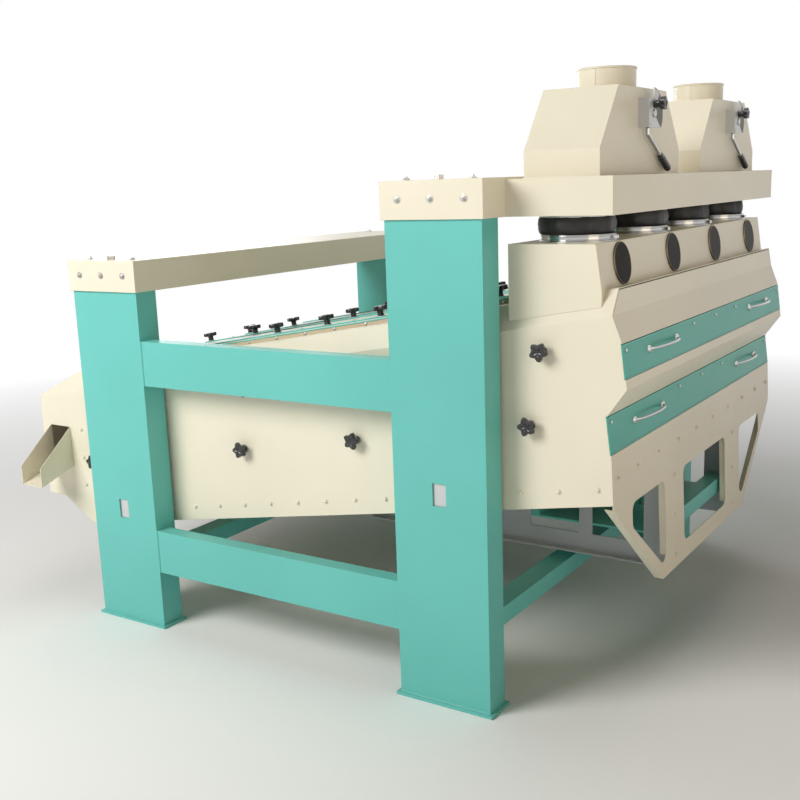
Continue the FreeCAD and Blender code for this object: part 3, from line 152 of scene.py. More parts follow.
def node_group(name: str, inputs: Sequence[tuple[str, str, object]], outputs: Sequence[tuple[str, str]],
               fill: Callable[[Graph, Node, Node], None]) -> bpy.types.NodeTree:
    """Build a shader node group once and return it afterwards.

    Args:
        name: Group name.
        inputs: Socket name, socket type and default.
        outputs: Socket name and socket type.
        fill: Adds the inside nodes, given the graph, its input node and its output node.

    Returns:
        The node group.
    """
    if name in bpy.data.node_groups:
        return bpy.data.node_groups[name]
    tree = bpy.data.node_groups.new(name, "ShaderNodeTree")
    for title, kind, default in inputs:
        socket = tree.interface.new_socket(name=title, in_out="INPUT", socket_type=kind)
        if default is not None:
            socket.default_value = default
    for title, kind in outputs:
        tree.interface.new_socket(name=title, in_out="OUTPUT", socket_type=kind)
    graph = Graph(tree)
    fill(graph, graph.add("NodeGroupInput"), graph.add("NodeGroupOutput"))
    return tree


def edge_group() -> bpy.types.NodeTree:
    """Rounded edge normal and a mask that is 1 on worn edges."""

    def fill(g: Graph, start: Node, end: Node) -> None:
        """Compare the softened normal with the plain one."""
        soft = g.add("ShaderNodeBevel", {"Radius": start.outputs["Radius"]}, samples=4).outputs[0]
        plain = g.add("ShaderNodeNewGeometry").outputs["Normal"]
        turn = g.add("ShaderNodeVectorMath", {0: soft, 1: plain}, operation="DOT_PRODUCT").outputs["Value"]
        edge = g.remap(turn, 0.995, 0.85)
        patch = g.remap(g.noise(start.outputs["Vector"], 9.0, 5.0, 0.65), 0.35, 0.7)
        worn = g.math("MULTIPLY", edge, patch)
        g.link(g.math("MULTIPLY", worn, start.outputs["Amount"], True), end.inputs["Mask"])
        g.link(soft, end.inputs["Normal"])

    inputs = (("Vector", "NodeSocketVector", None), ("Radius", "NodeSocketFloat", 0.0018),
              ("Amount", "NodeSocketFloat", 0.5))
    outputs = (("Mask", "NodeSocketFloat"), ("Normal", "NodeSocketVector"))
    return node_group("edge_wear", inputs, outputs, fill)


def dust_group() -> bpy.types.NodeTree:
    """A mask of settled flour dust: upward faces, broken by noise."""

    def fill(g: Graph, start: Node, end: Node) -> None:
        """Break the upward faces up by a cloud and by fine specks."""
        up = g.add("ShaderNodeSeparateXYZ", {0: g.add("ShaderNodeNewGeometry").outputs["Normal"]}).outputs[2]
        flat = g.remap(up, 0.5, 1.0)
        cloud = g.remap(g.noise(start.outputs["Vector"], 3.1, 6.0, 0.6), 0.38, 0.72)
        speck = g.remap(g.noise(start.outputs["Vector"], 160.0, 2.0), 0.58, 0.75, 0.0, 0.5)
        mask = g.math("MULTIPLY", flat, g.math("ADD", cloud, speck, True))
        g.link(g.math("MULTIPLY", mask, start.outputs["Amount"], True), end.inputs["Mask"])

    inputs = (("Vector", "NodeSocketVector", None), ("Amount", "NodeSocketFloat", 0.3))
    return node_group("settled_dust", inputs, (("Mask", "NodeSocketFloat"),), fill)


def grain_group() -> bpy.types.NodeTree:
    """Fine surface grain as a height and a broad tint variation."""

    def fill(g: Graph, start: Node, end: Node) -> None:
        """Lay three noises of different scale over each other."""
        place = start.outputs["Vector"]
        g.link(g.noise(place, start.outputs["Scale"], 2.0), end.inputs["Height"])
        g.link(g.noise(place, 1.4, 4.0, 0.55), end.inputs["Broad"])
        scuff = g.noise(place, 38.0, 8.0, 0.7, (1.0, 0.12, 1.0))
        g.link(g.remap(scuff, 0.52, 0.8), end.inputs["Scuff"])

    inputs = (("Vector", "NodeSocketVector", None), ("Scale", "NodeSocketFloat", 240.0))
    outputs = tuple((title, "NodeSocketFloat") for title in ("Height", "Broad", "Scuff"))
    return node_group("surface_grain", inputs, outputs, fill)


@dataclass(frozen=True)
class Finish:
    """A procedural surface finish; subclasses set how its colour is made.

    Attributes:
        name: Material name.
        colour: Base colour.
        rough: Base roughness.
        metallic: Metallic value.
        coat: Clear coat weight.
        edge_radius: Radius of the softened edges in metres.
        wear: Strength of edge wear.
        worn_colour: Colour shown where an edge is worn.
        dust: Strength of settled dust.
        grain: Scale of the fine grain.
        bump: Strength of the fine grain.
    """

    name: str
    colour: Colour
    rough: float = 0.4
    metallic: float = 0.0
    coat: float = 0.0
    edge_radius: float = 0.0018
    wear: float = 0.25
    worn_colour: Colour = (0.8, 0.78, 0.72, 1.0)
    dust: float = 0.12
    grain: float = 240.0
    bump: float = 0.03

    def tint(self, g: Graph, place: Socket, broad: Socket) -> Socket:
        """Return the undirtied colour."""
        dark = tuple(0.93 * c for c in self.colour[:3]) + (1.0,)
        return g.mix(g.remap(broad, 0.35, 0.65), dark, self.colour)

    def finishing(self, g: Graph, shader: Node, place: Socket) -> None:
        """Set what only this kind of finish needs; a plain finish needs nothing more."""

    def build(self) -> bpy.types.Material:
        """Build the material once and return it afterwards."""
        title = self.name + "_finish"
        if title in bpy.data.materials:
            return bpy.data.materials[title]
        material = bpy.data.materials.new(title)
        material.use_nodes = True
        g = Graph(material.node_tree)
        shader = material.node_tree.nodes["Principled BSDF"]
        place = g.add("ShaderNodeTexCoord").outputs["Object"]
        edge = g.add("ShaderNodeGroup", {}, node_tree=edge_group())
        dust = g.add("ShaderNodeGroup", {}, node_tree=dust_group())
        grain = g.add("ShaderNodeGroup", {}, node_tree=grain_group())
        for node in (edge, dust, grain):
            g.link(place, node.inputs["Vector"])
        edge.inputs["Radius"].default_value = self.edge_radius
        edge.inputs["Amount"].default_value = self.wear
        dust.inputs["Amount"].default_value = self.dust
        grain.inputs["Scale"].default_value = self.grain
        colour = self.tint(g, place, grain.outputs["Broad"])
        colour = g.mix(edge.outputs["Mask"], colour, self.worn_colour)
        colour = g.mix(dust.outputs["Mask"], colour, FLOUR)
        g.link(colour, shader.inputs["Base Color"])
        rough = g.math("ADD", self.rough, g.math("MULTIPLY", grain.outputs["Scuff"], 0.09))
        rough = g.math("ADD", rough, g.math("MULTIPLY", dust.outputs["Mask"], 0.35), True)
        g.link(rough, shader.inputs["Roughness"])
        shader.inputs["Metallic"].default_value = self.metallic
        shader.inputs["Coat Weight"].default_value = self.coat
        shader.inputs["Coat Roughness"].default_value = 0.12
        bump = g.add("ShaderNodeBump", {"Strength": self.bump, "Distance": 0.0006,
                                        "Height": grain.outputs["Height"], "Normal": edge.outputs["Normal"]})
        g.link(bump.outputs[0], shader.inputs["Normal"])
        self.finishing(g, shader, place)
        return material


@dataclass(frozen=True)
class Paint(Finish):
    """Gloss enamel on folded sheet, with a faint orange peel."""

    rough: float = 0.36
    coat: float = 0.1
    grain: float = 95.0
    bump: float = 0.05

    def finishing(self, g: Graph, shader: Node, place: Socket) -> None:
        """Hold the reflection back, so that the white surround doesn't bleach the colour."""
        shader.inputs["Specular IOR Level"].default_value = 0.25


@dataclass(frozen=True)
class Metal(Finish):
    """Bare or plated metal, brushed along one axis."""

    metallic: float = 1.0
    rough: float = 0.3
    wear: float = 0.1

    def tint(self, g: Graph, place: Socket, broad: Socket) -> Socket:
        """Return a colour streaked by brushing."""
        streak = g.noise(place, 60.0, 4.0, 0.6, (1.0, 14.0, 14.0))
        dark = tuple(0.72 * c for c in self.colour[:3]) + (1.0,)
        return g.mix(g.remap(streak, 0.3, 0.7), dark, self.colour)


@dataclass(frozen=True)
class Soft(Finish):
    """Rubber or moulded plastic."""

    rough: float = 0.5
    wear: float = 0.0
    grain: float = 420.0
    bump: float = 0.12
    edge_radius: float = 0.0012


@dataclass(frozen=True)
class Glass(Finish):
    """A dark sight glass with a painted paler reflection in patches over the pane."""

    rough: float = 0.08
    wear: float = 0.0
    dust: float = 0.0

    def finishing(self, g: Graph, shader: Node, place: Socket) -> None:
        """Keep the pane's reflection faint, so that it reads as the dark inside of the box."""
        shader.inputs["Specular IOR Level"].default_value = 0.02

    def tint(self, g: Graph, place: Socket, broad: Socket) -> Socket:
        """Return a dark pane with a painted paler reflection in patches here and there."""
        # The paler patches mixed in here are a painted reflection on the pane.
        painted_reflection = g.remap(g.noise(place, 14.0, 6.0, 0.7), 0.5, 0.85, 0.0, 0.6)
        return g.mix(painted_reflection, self.colour, (0.04, 0.034, 0.02, 1.0))


@dataclass(frozen=True)
class Timber(Finish):
    """Planed hardwood of the screen frames."""

    rough: float = 0.55
    wear: float = 0.1

    def tint(self, g: Graph, place: Socket, broad: Socket) -> Socket:
        """Return wood colour with rings and pores."""
        rings = g.noise(place, 6.0, 8.0, 0.6, (1.0, 9.0, 9.0))
        pores = g.remap(g.noise(place, 300.0, 3.0, 0.6, (0.08, 1.0, 1.0)), 0.55, 0.7, 0.0, 0.35)
        wood = g.mix(g.remap(rings, 0.35, 0.65), (0.32, 0.18, 0.08, 1.0), self.colour)
        return g.mix(pores, wood, (0.16, 0.09, 0.04, 1.0))


@dataclass(frozen=True)
class WovenWire(Finish):
    """Woven screen with open holes; wires is their number to a metre."""

    metallic: float = 1.0
    rough: float = 0.35
    wear: float = 0.0
    wires: float = 130.0

    def finishing(self, g: Graph, shader: Node, place: Socket) -> None:
        """Open the holes of the weave through the alpha."""
        parts = g.add("ShaderNodeSeparateXYZ", {0: place})
        turn = 2.0 * math.pi * self.wires
        waves = [g.math("SINE", g.math("MULTIPLY", parts.outputs[i], turn)) for i in (0, 1)]
        height = g.math("MAXIMUM", waves[0], waves[1])
        g.link(g.remap(height, -0.1, 0.1), shader.inputs["Alpha"])


@dataclass(frozen=True)
class Floor(Finish):
    """Plain pale ground."""

    rough: float = 0.9
    wear: float = 0.0
    dust: float = 0.0
    bump: float = 0.0

    def tint(self, g: Graph, place: Socket, broad: Socket) -> Socket:
        """Return a pale colour that gives way to plain white light far from the machine."""
        return g.mix(self.far(g, place), self.colour, (0.0, 0.0, 0.0, 1.0))

    def far(self, g: Graph, place: Socket) -> Socket:
        """Return 0 near the machine and 1 far from it."""
        distance = g.add("ShaderNodeVectorMath", {0: place}, operation="LENGTH").outputs["Value"]
        return g.remap(distance, 2.0, 6.5)

    def finishing(self, g: Graph, shader: Node, place: Socket) -> None:
        """Let the far ground shine white, so that no horizon shows."""
        shader.inputs["Emission Color"].default_value = WHITE
        g.link(self.far(g, place), shader.inputs["Emission Strength"])
        shader.inputs["Specular IOR Level"].default_value = 0.0


TEAL = Paint("teal_paint", (0.15, 0.56, 0.51, 1.0), worn_colour=(0.34, 0.70, 0.65, 1.0), wear=0.3)
DRAWER_TEAL = Paint("drawer_paint", (0.075, 0.44, 0.36, 1.0), worn_colour=(0.3, 0.62, 0.55, 1.0), coat=0.05,
                    wear=0.3)
CREAM = Paint("cream_paint", (0.83, 0.775, 0.625, 1.0), worn_colour=(0.88, 0.83, 0.71, 1.0), dust=0.06)
TAN = Paint("tan_paint", (0.60, 0.50, 0.35, 1.0), worn_colour=(0.7, 0.6, 0.45, 1.0), rough=0.42, dust=0.06)
# Dark colour of the quadrant fans: a painted reflection, standing in for what their face mirrors.
DARK_REFLECTION = Paint("painted_dark_reflection", (0.085, 0.09, 0.05, 1.0), worn_colour=(0.3, 0.3, 0.2, 1.0), rough=0.42)
GREY = Paint("grey_paint", (0.50, 0.52, 0.56, 1.0), rough=0.42, coat=0.1, worn_colour=(0.6, 0.6, 0.6, 1.0))
SILVER = Paint("silver_paint", (0.62, 0.64, 0.65, 1.0), rough=0.38, metallic=0.25, coat=0.1)
CHROME = Metal("chrome", (0.58, 0.58, 0.57, 1.0), rough=0.12, dust=0.0, bump=0.0)
ZINC = Metal("zinc", (0.55, 0.54, 0.51, 1.0), rough=0.36)
BRONZE = Metal("bronze_rim", (0.20, 0.16, 0.11, 1.0), rough=0.35)
CAST = Metal("cast_iron", (0.16, 0.16, 0.165, 1.0), rough=0.55, bump=0.4, grain=130.0)
RUBBER = Soft("black_rubber", (0.012, 0.012, 0.013, 1.0), rough=0.48, dust=0.05)
PLASTIC = Soft("black_plastic", (0.010, 0.010, 0.011, 1.0), rough=0.22, coat=0.4, grain=180.0, bump=0.02,
               dust=0.03)
GLASS = Glass("dark_glass", (0.014, 0.012, 0.007, 1.0))
WOOD = Timber("wood", (0.55, 0.36, 0.18, 1.0))
WIRE = WovenWire("screen_mesh", (0.62, 0.61, 0.58, 1.0))


# Shape building


class Shape:
    """Collects simple solids in one bmesh, in metres and in place."""

    def __init__(self) -> None:
        self.mesh = bmesh.new()

    def box(self, low: Point, high: Point) -> "Shape":
        """Add an upright box between two corners."""
        size = [b - a for a, b in zip(low, high)]
        centre = [(a + b) / 2 for a, b in zip(low, high)]
        place = Matrix.Translation(centre) @ Matrix.Diagonal((*size, 1.0))
        bmesh.ops.create_cube(self.mesh, size=1.0, matrix=place)
        return self

    def turned(self, profile: Sequence[Flat], place: Point = (0, 0, 0), axis: Point = (0, 0, 1),
               steps: int = 32, ripple: Callable[[float, float], float] | None = None) -> "Shape":
        """Add a turned solid.

        Args:
            profile: Radius and height of each ring; radius 0 closes an end, other ends join to a ring wall.
            place: Foot of the axis.
            axis: Direction of the height.
            steps: Facets round the axis.
            ripple: Extra radius for an angle and a height.

        Returns:
            The same shape.
        """
        turn = Matrix.Translation(place) @ Vector(axis).to_track_quat("Z", "Y").to_matrix().to_4x4()
        rings = []
        for radius, height in profile:
            if radius <= 0:
                rings.append([self.mesh.verts.new(turn @ Vector((0, 0, height)))])
                continue
            ring = []
            for i in range(steps):
                angle = 2 * math.pi * i / steps
                reach = radius + (ripple(angle, height) if ripple else 0.0)
                spot = Vector((reach * math.cos(angle), reach * math.sin(angle), height))
                ring.append(self.mesh.verts.new(turn @ spot))
            rings.append(ring)
        pairs = list(zip(rings, rings[1:]))
        if len(rings[0]) > 1 and len(rings[-1]) > 1:
            pairs.append((rings[-1], rings[0]))
        for low, high in pairs:
            for i in range(steps):
                j = (i + 1) % steps
                corners = [low[i % len(low)], low[j % len(low)], high[j % len(high)], high[i % len(high)]]
                self.mesh.faces.new(list(dict.fromkeys(corners)))
        return self

    def pipe(self, path: Sequence[Point], radius: float, steps: int = 10) -> "Shape":
        """Add a round bar along a path, with closed ends."""
        points = [Vector(p) for p in path]
        rings = []
        for i, point in enumerate(points):
            ahead = points[min(i + 1, len(points) - 1)] - points[max(i - 1, 0)]
            turn = ahead.to_track_quat("Z", "Y")
            circle = [Vector((radius * math.cos(a), radius * math.sin(a), 0))
                      for a in (2 * math.pi * k / steps for k in range(steps))]
            rings.append([self.mesh.verts.new(point + turn @ spot) for spot in circle])
        for low, high in zip(rings, rings[1:]):
            for k in range(steps):
                self.mesh.faces.new((low[k], low[(k + 1) % steps], high[(k + 1) % steps], high[k]))
        self.mesh.faces.new(list(reversed(rings[0])))
        self.mesh.faces.new(rings[-1])
        return self

    def prism(self, outline: Sequence[Point], push: Point) -> "Shape":
        """Add a solid from a flat outline pushed along a vector."""
        low = [self.mesh.verts.new(p) for p in outline]
        high = [self.mesh.verts.new(Vector(p) + Vector(push)) for p in outline]
        count = len(low)
        self.mesh.faces.new(list(reversed(low)))
        self.mesh.faces.new(high)
        for i in range(count):
            self.mesh.faces.new((low[i], low[(i + 1) % count], high[(i + 1) % count], high[i]))
        return self

    def finish(self, name: str, finish: Finish, sharp: float = 35.0) -> bpy.types.Object:
        """Turn the collected solids into an object with one finish."""
        bmesh.ops.recalc_face_normals(self.mesh, faces=self.mesh.faces)
        data = bpy.data.meshes.new(name)
        self.mesh.to_mesh(data)
        self.mesh.free()
        data.materials.append(finish.build())
        data.shade_smooth()
        data.set_sharp_from_angle(angle=math.radians(sharp))
        made = bpy.data.objects.new(name, data)
        bpy.context.scene.collection.objects.link(made)
        return made


class Scatter:
    """Instances one small part on many points with Geometry Nodes, then makes the result a plain mesh."""

    TREE = "scatter_hardware"

    @classmethod
    def tree(cls) -> bpy.types.NodeTree:
        """Build the Geometry Nodes tree once and return it afterwards."""
        if cls.TREE in bpy.data.node_groups:
            return bpy.data.node_groups[cls.TREE]
        tree = bpy.data.node_groups.new(cls.TREE, "GeometryNodeTree")
        for title, kind in (("Points", "Geometry"), ("Part", "Object"), ("Spin", "Float"), ("Seed", "Int"),
                            ("Finish", "Material")):
            tree.interface.new_socket(name=title, in_out="INPUT", socket_type="NodeSocket" + kind)
        tree.interface.new_socket(name="Hardware", in_out="OUTPUT", socket_type="NodeSocketGeometry")
        g = Graph(tree)
        start, end = g.add("NodeGroupInput").outputs, g.add("NodeGroupOutput")
        axis = g.add("GeometryNodeInputNamedAttribute", {"Name": "axis"}, data_type="FLOAT_VECTOR").outputs[0]
        aimed = g.add("FunctionNodeAlignRotationToVector", {"Vector": axis}, axis="Z").outputs[0]
        spin = g.add("FunctionNodeRandomValue", {"Seed": start["Seed"]}, data_type="FLOAT")
        least, most = [socket for socket in spin.inputs if socket.type == "VALUE"][:2]
        g.link(g.math("MULTIPLY", start["Spin"], -1.0), least)
        g.link(start["Spin"], most)
        value = next(socket for socket in spin.outputs if socket.type == "VALUE")
        turn = g.add("FunctionNodeAxisAngleToRotation", {"Axis": (0.0, 0.0, 1.0), "Angle": value}).outputs[0]
        spun = g.add("FunctionNodeRotateRotation", {"Rotation": aimed, "Rotate By": turn},
                     rotation_space="LOCAL").outputs[0]
        part = g.add("GeometryNodeObjectInfo", {"Object": start["Part"]}, transform_space="ORIGINAL")
        placed = g.add("GeometryNodeInstanceOnPoints", {"Points": start["Points"], "Rotation": spun,
                                                        "Instance": part.outputs["Geometry"]}).outputs[0]
        real = g.add("GeometryNodeRealizeInstances", {"Geometry": placed}).outputs[0]
        done = g.add("GeometryNodeSetMaterial", {"Geometry": real, "Material": start["Finish"]}).outputs[0]
        g.link(done, end.inputs[0])
        return tree

    @classmethod
    def place(cls, name: str, part: Shape, finish: Finish, spots: Sequence[tuple[Point, Axis]], body: str,
              spin: float = math.pi, seed: int = 3) -> bpy.types.Object:
        """Place copies of a part.

        Args:
            name: Name of the piece.
            part: The part, pointing along +Z with its seat at the origin.
            finish: Its finish.
            spots: Where each copy sits and the way it points.
            body: CAD body that the piece rides on.
            spin: Largest random turn about its own axis.
            seed: Seed of the turns.

        Returns:
            The plain mesh object of all copies.
        """
        model = part.finish(name + "_part", finish)
        data = bpy.data.meshes.new(name + "_points")
        data.from_pydata([spot for spot, way in spots], [], [])
        ways = data.attributes.new("axis", "FLOAT_VECTOR", "POINT")
        for i, (spot, way) in enumerate(spots):
            ways.data[i].vector = way.value
        holder = bpy.data.objects.new(name + "_points", data)
        bpy.context.scene.collection.objects.link(holder)
        modifier = holder.modifiers.new("hardware", "NODES")
        modifier.node_group = cls.tree()
        values = {"Part": model, "Spin": spin, "Seed": seed, "Finish": finish.build()}
        for item in modifier.node_group.interface.items_tree:
            if item.in_out == "INPUT" and item.name in values:
                modifier[item.identifier] = values[item.name]
        bpy.context.view_layer.update()
        shown = holder.evaluated_get(bpy.context.evaluated_depsgraph_get())
        mesh = bpy.data.meshes.new_from_object(shown)
        mesh.name = name
        mesh.materials.clear()
        mesh.materials.append(finish.build())
        mesh.set_sharp_from_angle(angle=math.radians(35))
        made = bpy.data.objects.new(name, mesh)
        bpy.context.scene.collection.objects.link(made)
        for spare in (holder, model):
            bpy.data.objects.remove(spare, do_unlink=True)
        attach(made, body)
        return made


def along(x: float, height: float) -> float:
    """Return the height of a line parallel to the deck; height is its value at the middle of the machine."""
    return height + SLOPE * x


def loop(low: Flat, high: Flat) -> list[Flat]:
    """Return a rectangle's corners, with the first one again at the end."""
    return [low, (high[0], low[1]), high, (low[0], high[1]), low]


def disc(radius: float, high: float, low: float = SEAT) -> list[Flat]:
    """Return the profile of a flat round piece."""
    return [(0, low), (radius, low), (radius, high), (0, high)]


def dome_bolt(radius: float) -> Shape:
    """A flat washer under a domed nut."""
    part = Shape().turned(disc(1.45 * radius, 0.0014), steps=12)
    dome = ((0.78, 0.95), (0.3, 1.15), (0.0, 1.2))
    crown = [(wide * radius, high * radius) for wide, high in ((1.0, 0.55), *dome)]
    return part.turned([(0, 0.001), (radius, 0.001), *crown], steps=10)


def hex_bolt(radius: float) -> Shape:
    """A washer, a hexagonal head and the bolt's end."""
    part = Shape().turned(disc(1.5 * radius, 0.0018), steps=14)
    head = [(wide * radius, high * radius) for wide, high in ((1.0, 0.65), (0.88, 0.78), (0.0, 0.78))]
    part.turned([(0, 0.0015), (radius, 0.0015), *head], steps=6)
    end = ((0.0, 0.6), (0.5, 0.6), (0.5, 1.1), (0.4, 1.25), (0.0, 1.25))
    return part.turned([(wide * radius, high * radius) for wide, high in end], steps=8)


def pan_screw(radius: float) -> Shape:
    """A low round screw head."""
    crown = [(wide * radius, high * radius) for wide, high in ((1.0, 0.3), (0.7, 0.6), (0.0, 0.68))]
    return Shape().turned([(0, SEAT), (radius, SEAT), *crown], steps=10)


def star_knob(radius: float = 0.031, stem: float = 0.022, thick: float = 0.017) -> Shape:
    """A star knob with five rounded lobes over a narrow hub."""

    def lobes(angle: float, height: float) -> float:
        """Return how far the rim stands off its middle circle."""
        if height <= stem * 0.9:
            return 0.0
        return radius * 0.16 * math.cos(5 * angle)

    inner = radius * 0.84
    hub = [(0, SEAT), (0.013, SEAT), (0.0115, stem * 0.5), (0.0125, stem * 0.9), (inner * 0.9, stem),
           (inner, stem + 0.003)]
    rim = [(inner * wide, stem + thick * high) for wide, high in
           ((1.0, 0.72), (0.93, 0.92), (0.5, 1.0), (0.32, 0.86), (0.0, 0.84))]
    return Shape().turned(hub + rim, steps=30, ripple=lobes)


@dataclass
class FrameDressing:
    """Paint and hardware of the standing frame.

    Attributes:
        feed_x: Middle of the feed-end posts.
        outlet_x: Middle of the outlet-end posts.
        half: Outer face of the posts from the middle plane.
        depth: Post across the machine.
        width: Post along the machine.
        bolt_pitch: Cap bolts along a beam's end.
        bolt_seat: Face under the cap bolts, outside the posts.
        window_rise: Height of a post's window, taken at the middle of the machine.
        window_half: Half of the plate behind a window, along the machine and up.
        window_faces: Both faces of that plate, from the middle plane.
        rail_lows: Undersides of the side rails.
        rail: Height of a rail, its depth, and how far it lies behind the posts' outer face.
        beams: Middle, height of the top face and height of the bolts for each beam.
    """

    feed_x: float = 0.722
    outlet_x: float = -0.758
    half: float = 1.006
    depth: float = 0.1
    width: float = 0.346
    bolt_pitch: float = 0.118
    bolt_seat: float = 0.009
    window_rise: float = 0.605
    window_half: Flat = (0.040, 0.050)
    window_faces: Flat = (0.9975, 0.9995)
    rail_lows: Flat = (0.987, 0.234)
    rail: Point = (0.172, 0.060, 0.003)
    beams: tuple[tuple[float, float, float], ...] = ((0.722, 1.718, 1.6615), (-0.758, 1.462, 1.4055))

    def dress(self) -> dict[str, Finish]:
        """Return the finish of each CAD node of the frame."""
        teal = ("feed_posts", "outlet_posts", "foot_plates", "upper_side_rails", "lower_side_rails",
                "cross_tubes")
        return {**{name: TEAL for name in teal}, "feed_cap_beam": CREAM, "outlet_cap_beam": CREAM,
                "cap_bolts": ZINC, "rope_anchors": ZINC}

    def bolts(self) -> None:
        """Replace the plain cap bolts with washered hex bolts and add the small nuts on the beams."""
        face = self.half + self.bolt_seat
        spots = [((middle + step * self.bolt_pitch, side * face, height), way)
                 for middle, top, height in self.beams for step in (-1, 0, 1) for side, way in SIDES]
        bolts = Scatter.place("cap_hex_bolts", hex_bolt(0.0085), ZINC, spots, "frame", seed=11)
        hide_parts("cap_bolts")
        tops = [((middle + step * self.bolt_pitch, side * (self.half - self.depth / 2), top), Axis.UP)
                for middle, top, height in self.beams for step in (-1, 1) for side in (-1, 1)]
        Scatter.place("beam_top_nuts", hex_bolt(0.0095), ZINC, tops, "frame", seed=12)

    def welds(self) -> None:
        """Add thin weld beads where rails and cross tubes meet the posts."""
        shape = Shape()
        tall, deep, inset = self.rail
        ends = (self.outlet_x + self.width / 2 + 0.001, self.feed_x - self.width / 2 - 0.001)
        for low in self.rail_lows:
            for x in ends:
                for side in (-1, 1):
                    outer = self.half - inset
                    ring = loop((low, side * outer), (low + tall, side * (outer - deep)))
                    shape.pipe([(x, y, z) for z, y in ring], 0.0032, steps=6)
        beads = shape.finish("rail_welds", TEAL)
        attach(beads, "frame")

    def feet(self) -> None:
        """Add a weld bead round the foot of each post."""
        shape = Shape()
        for middle in (self.feed_x, self.outlet_x):
            for side in (-1, 1):
                ring = loop((middle - self.width / 2, side * self.half),
                            (middle + self.width / 2, side * (self.half - self.depth)))
                shape.pipe([(x, y, 0.011) for x, y in ring], 0.0035, steps=6)
        beads = shape.finish("foot_welds", TEAL)
        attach(beads, "frame")

    def window_plates(self) -> None:
        """Add the pale inner plate that shows in the window of each post."""
        shape = Shape()
        half_x, half_z = self.window_half
        for middle in (self.feed_x, self.outlet_x):
            height = along(middle, self.window_rise)
            for side in (-1, 1):
                low, high = sorted(side * face for face in self.window_faces)
                shape.box((middle - half_x, low, height - half_z), (middle + half_x, high, height + half_z))
        plates = shape.finish("window_plates", SILVER)
        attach(plates, "frame")

    def build(self) -> None:
        """Build all hardware of the frame."""
        self.bolts()
        self.welds()
        self.feet()
        self.window_plates()


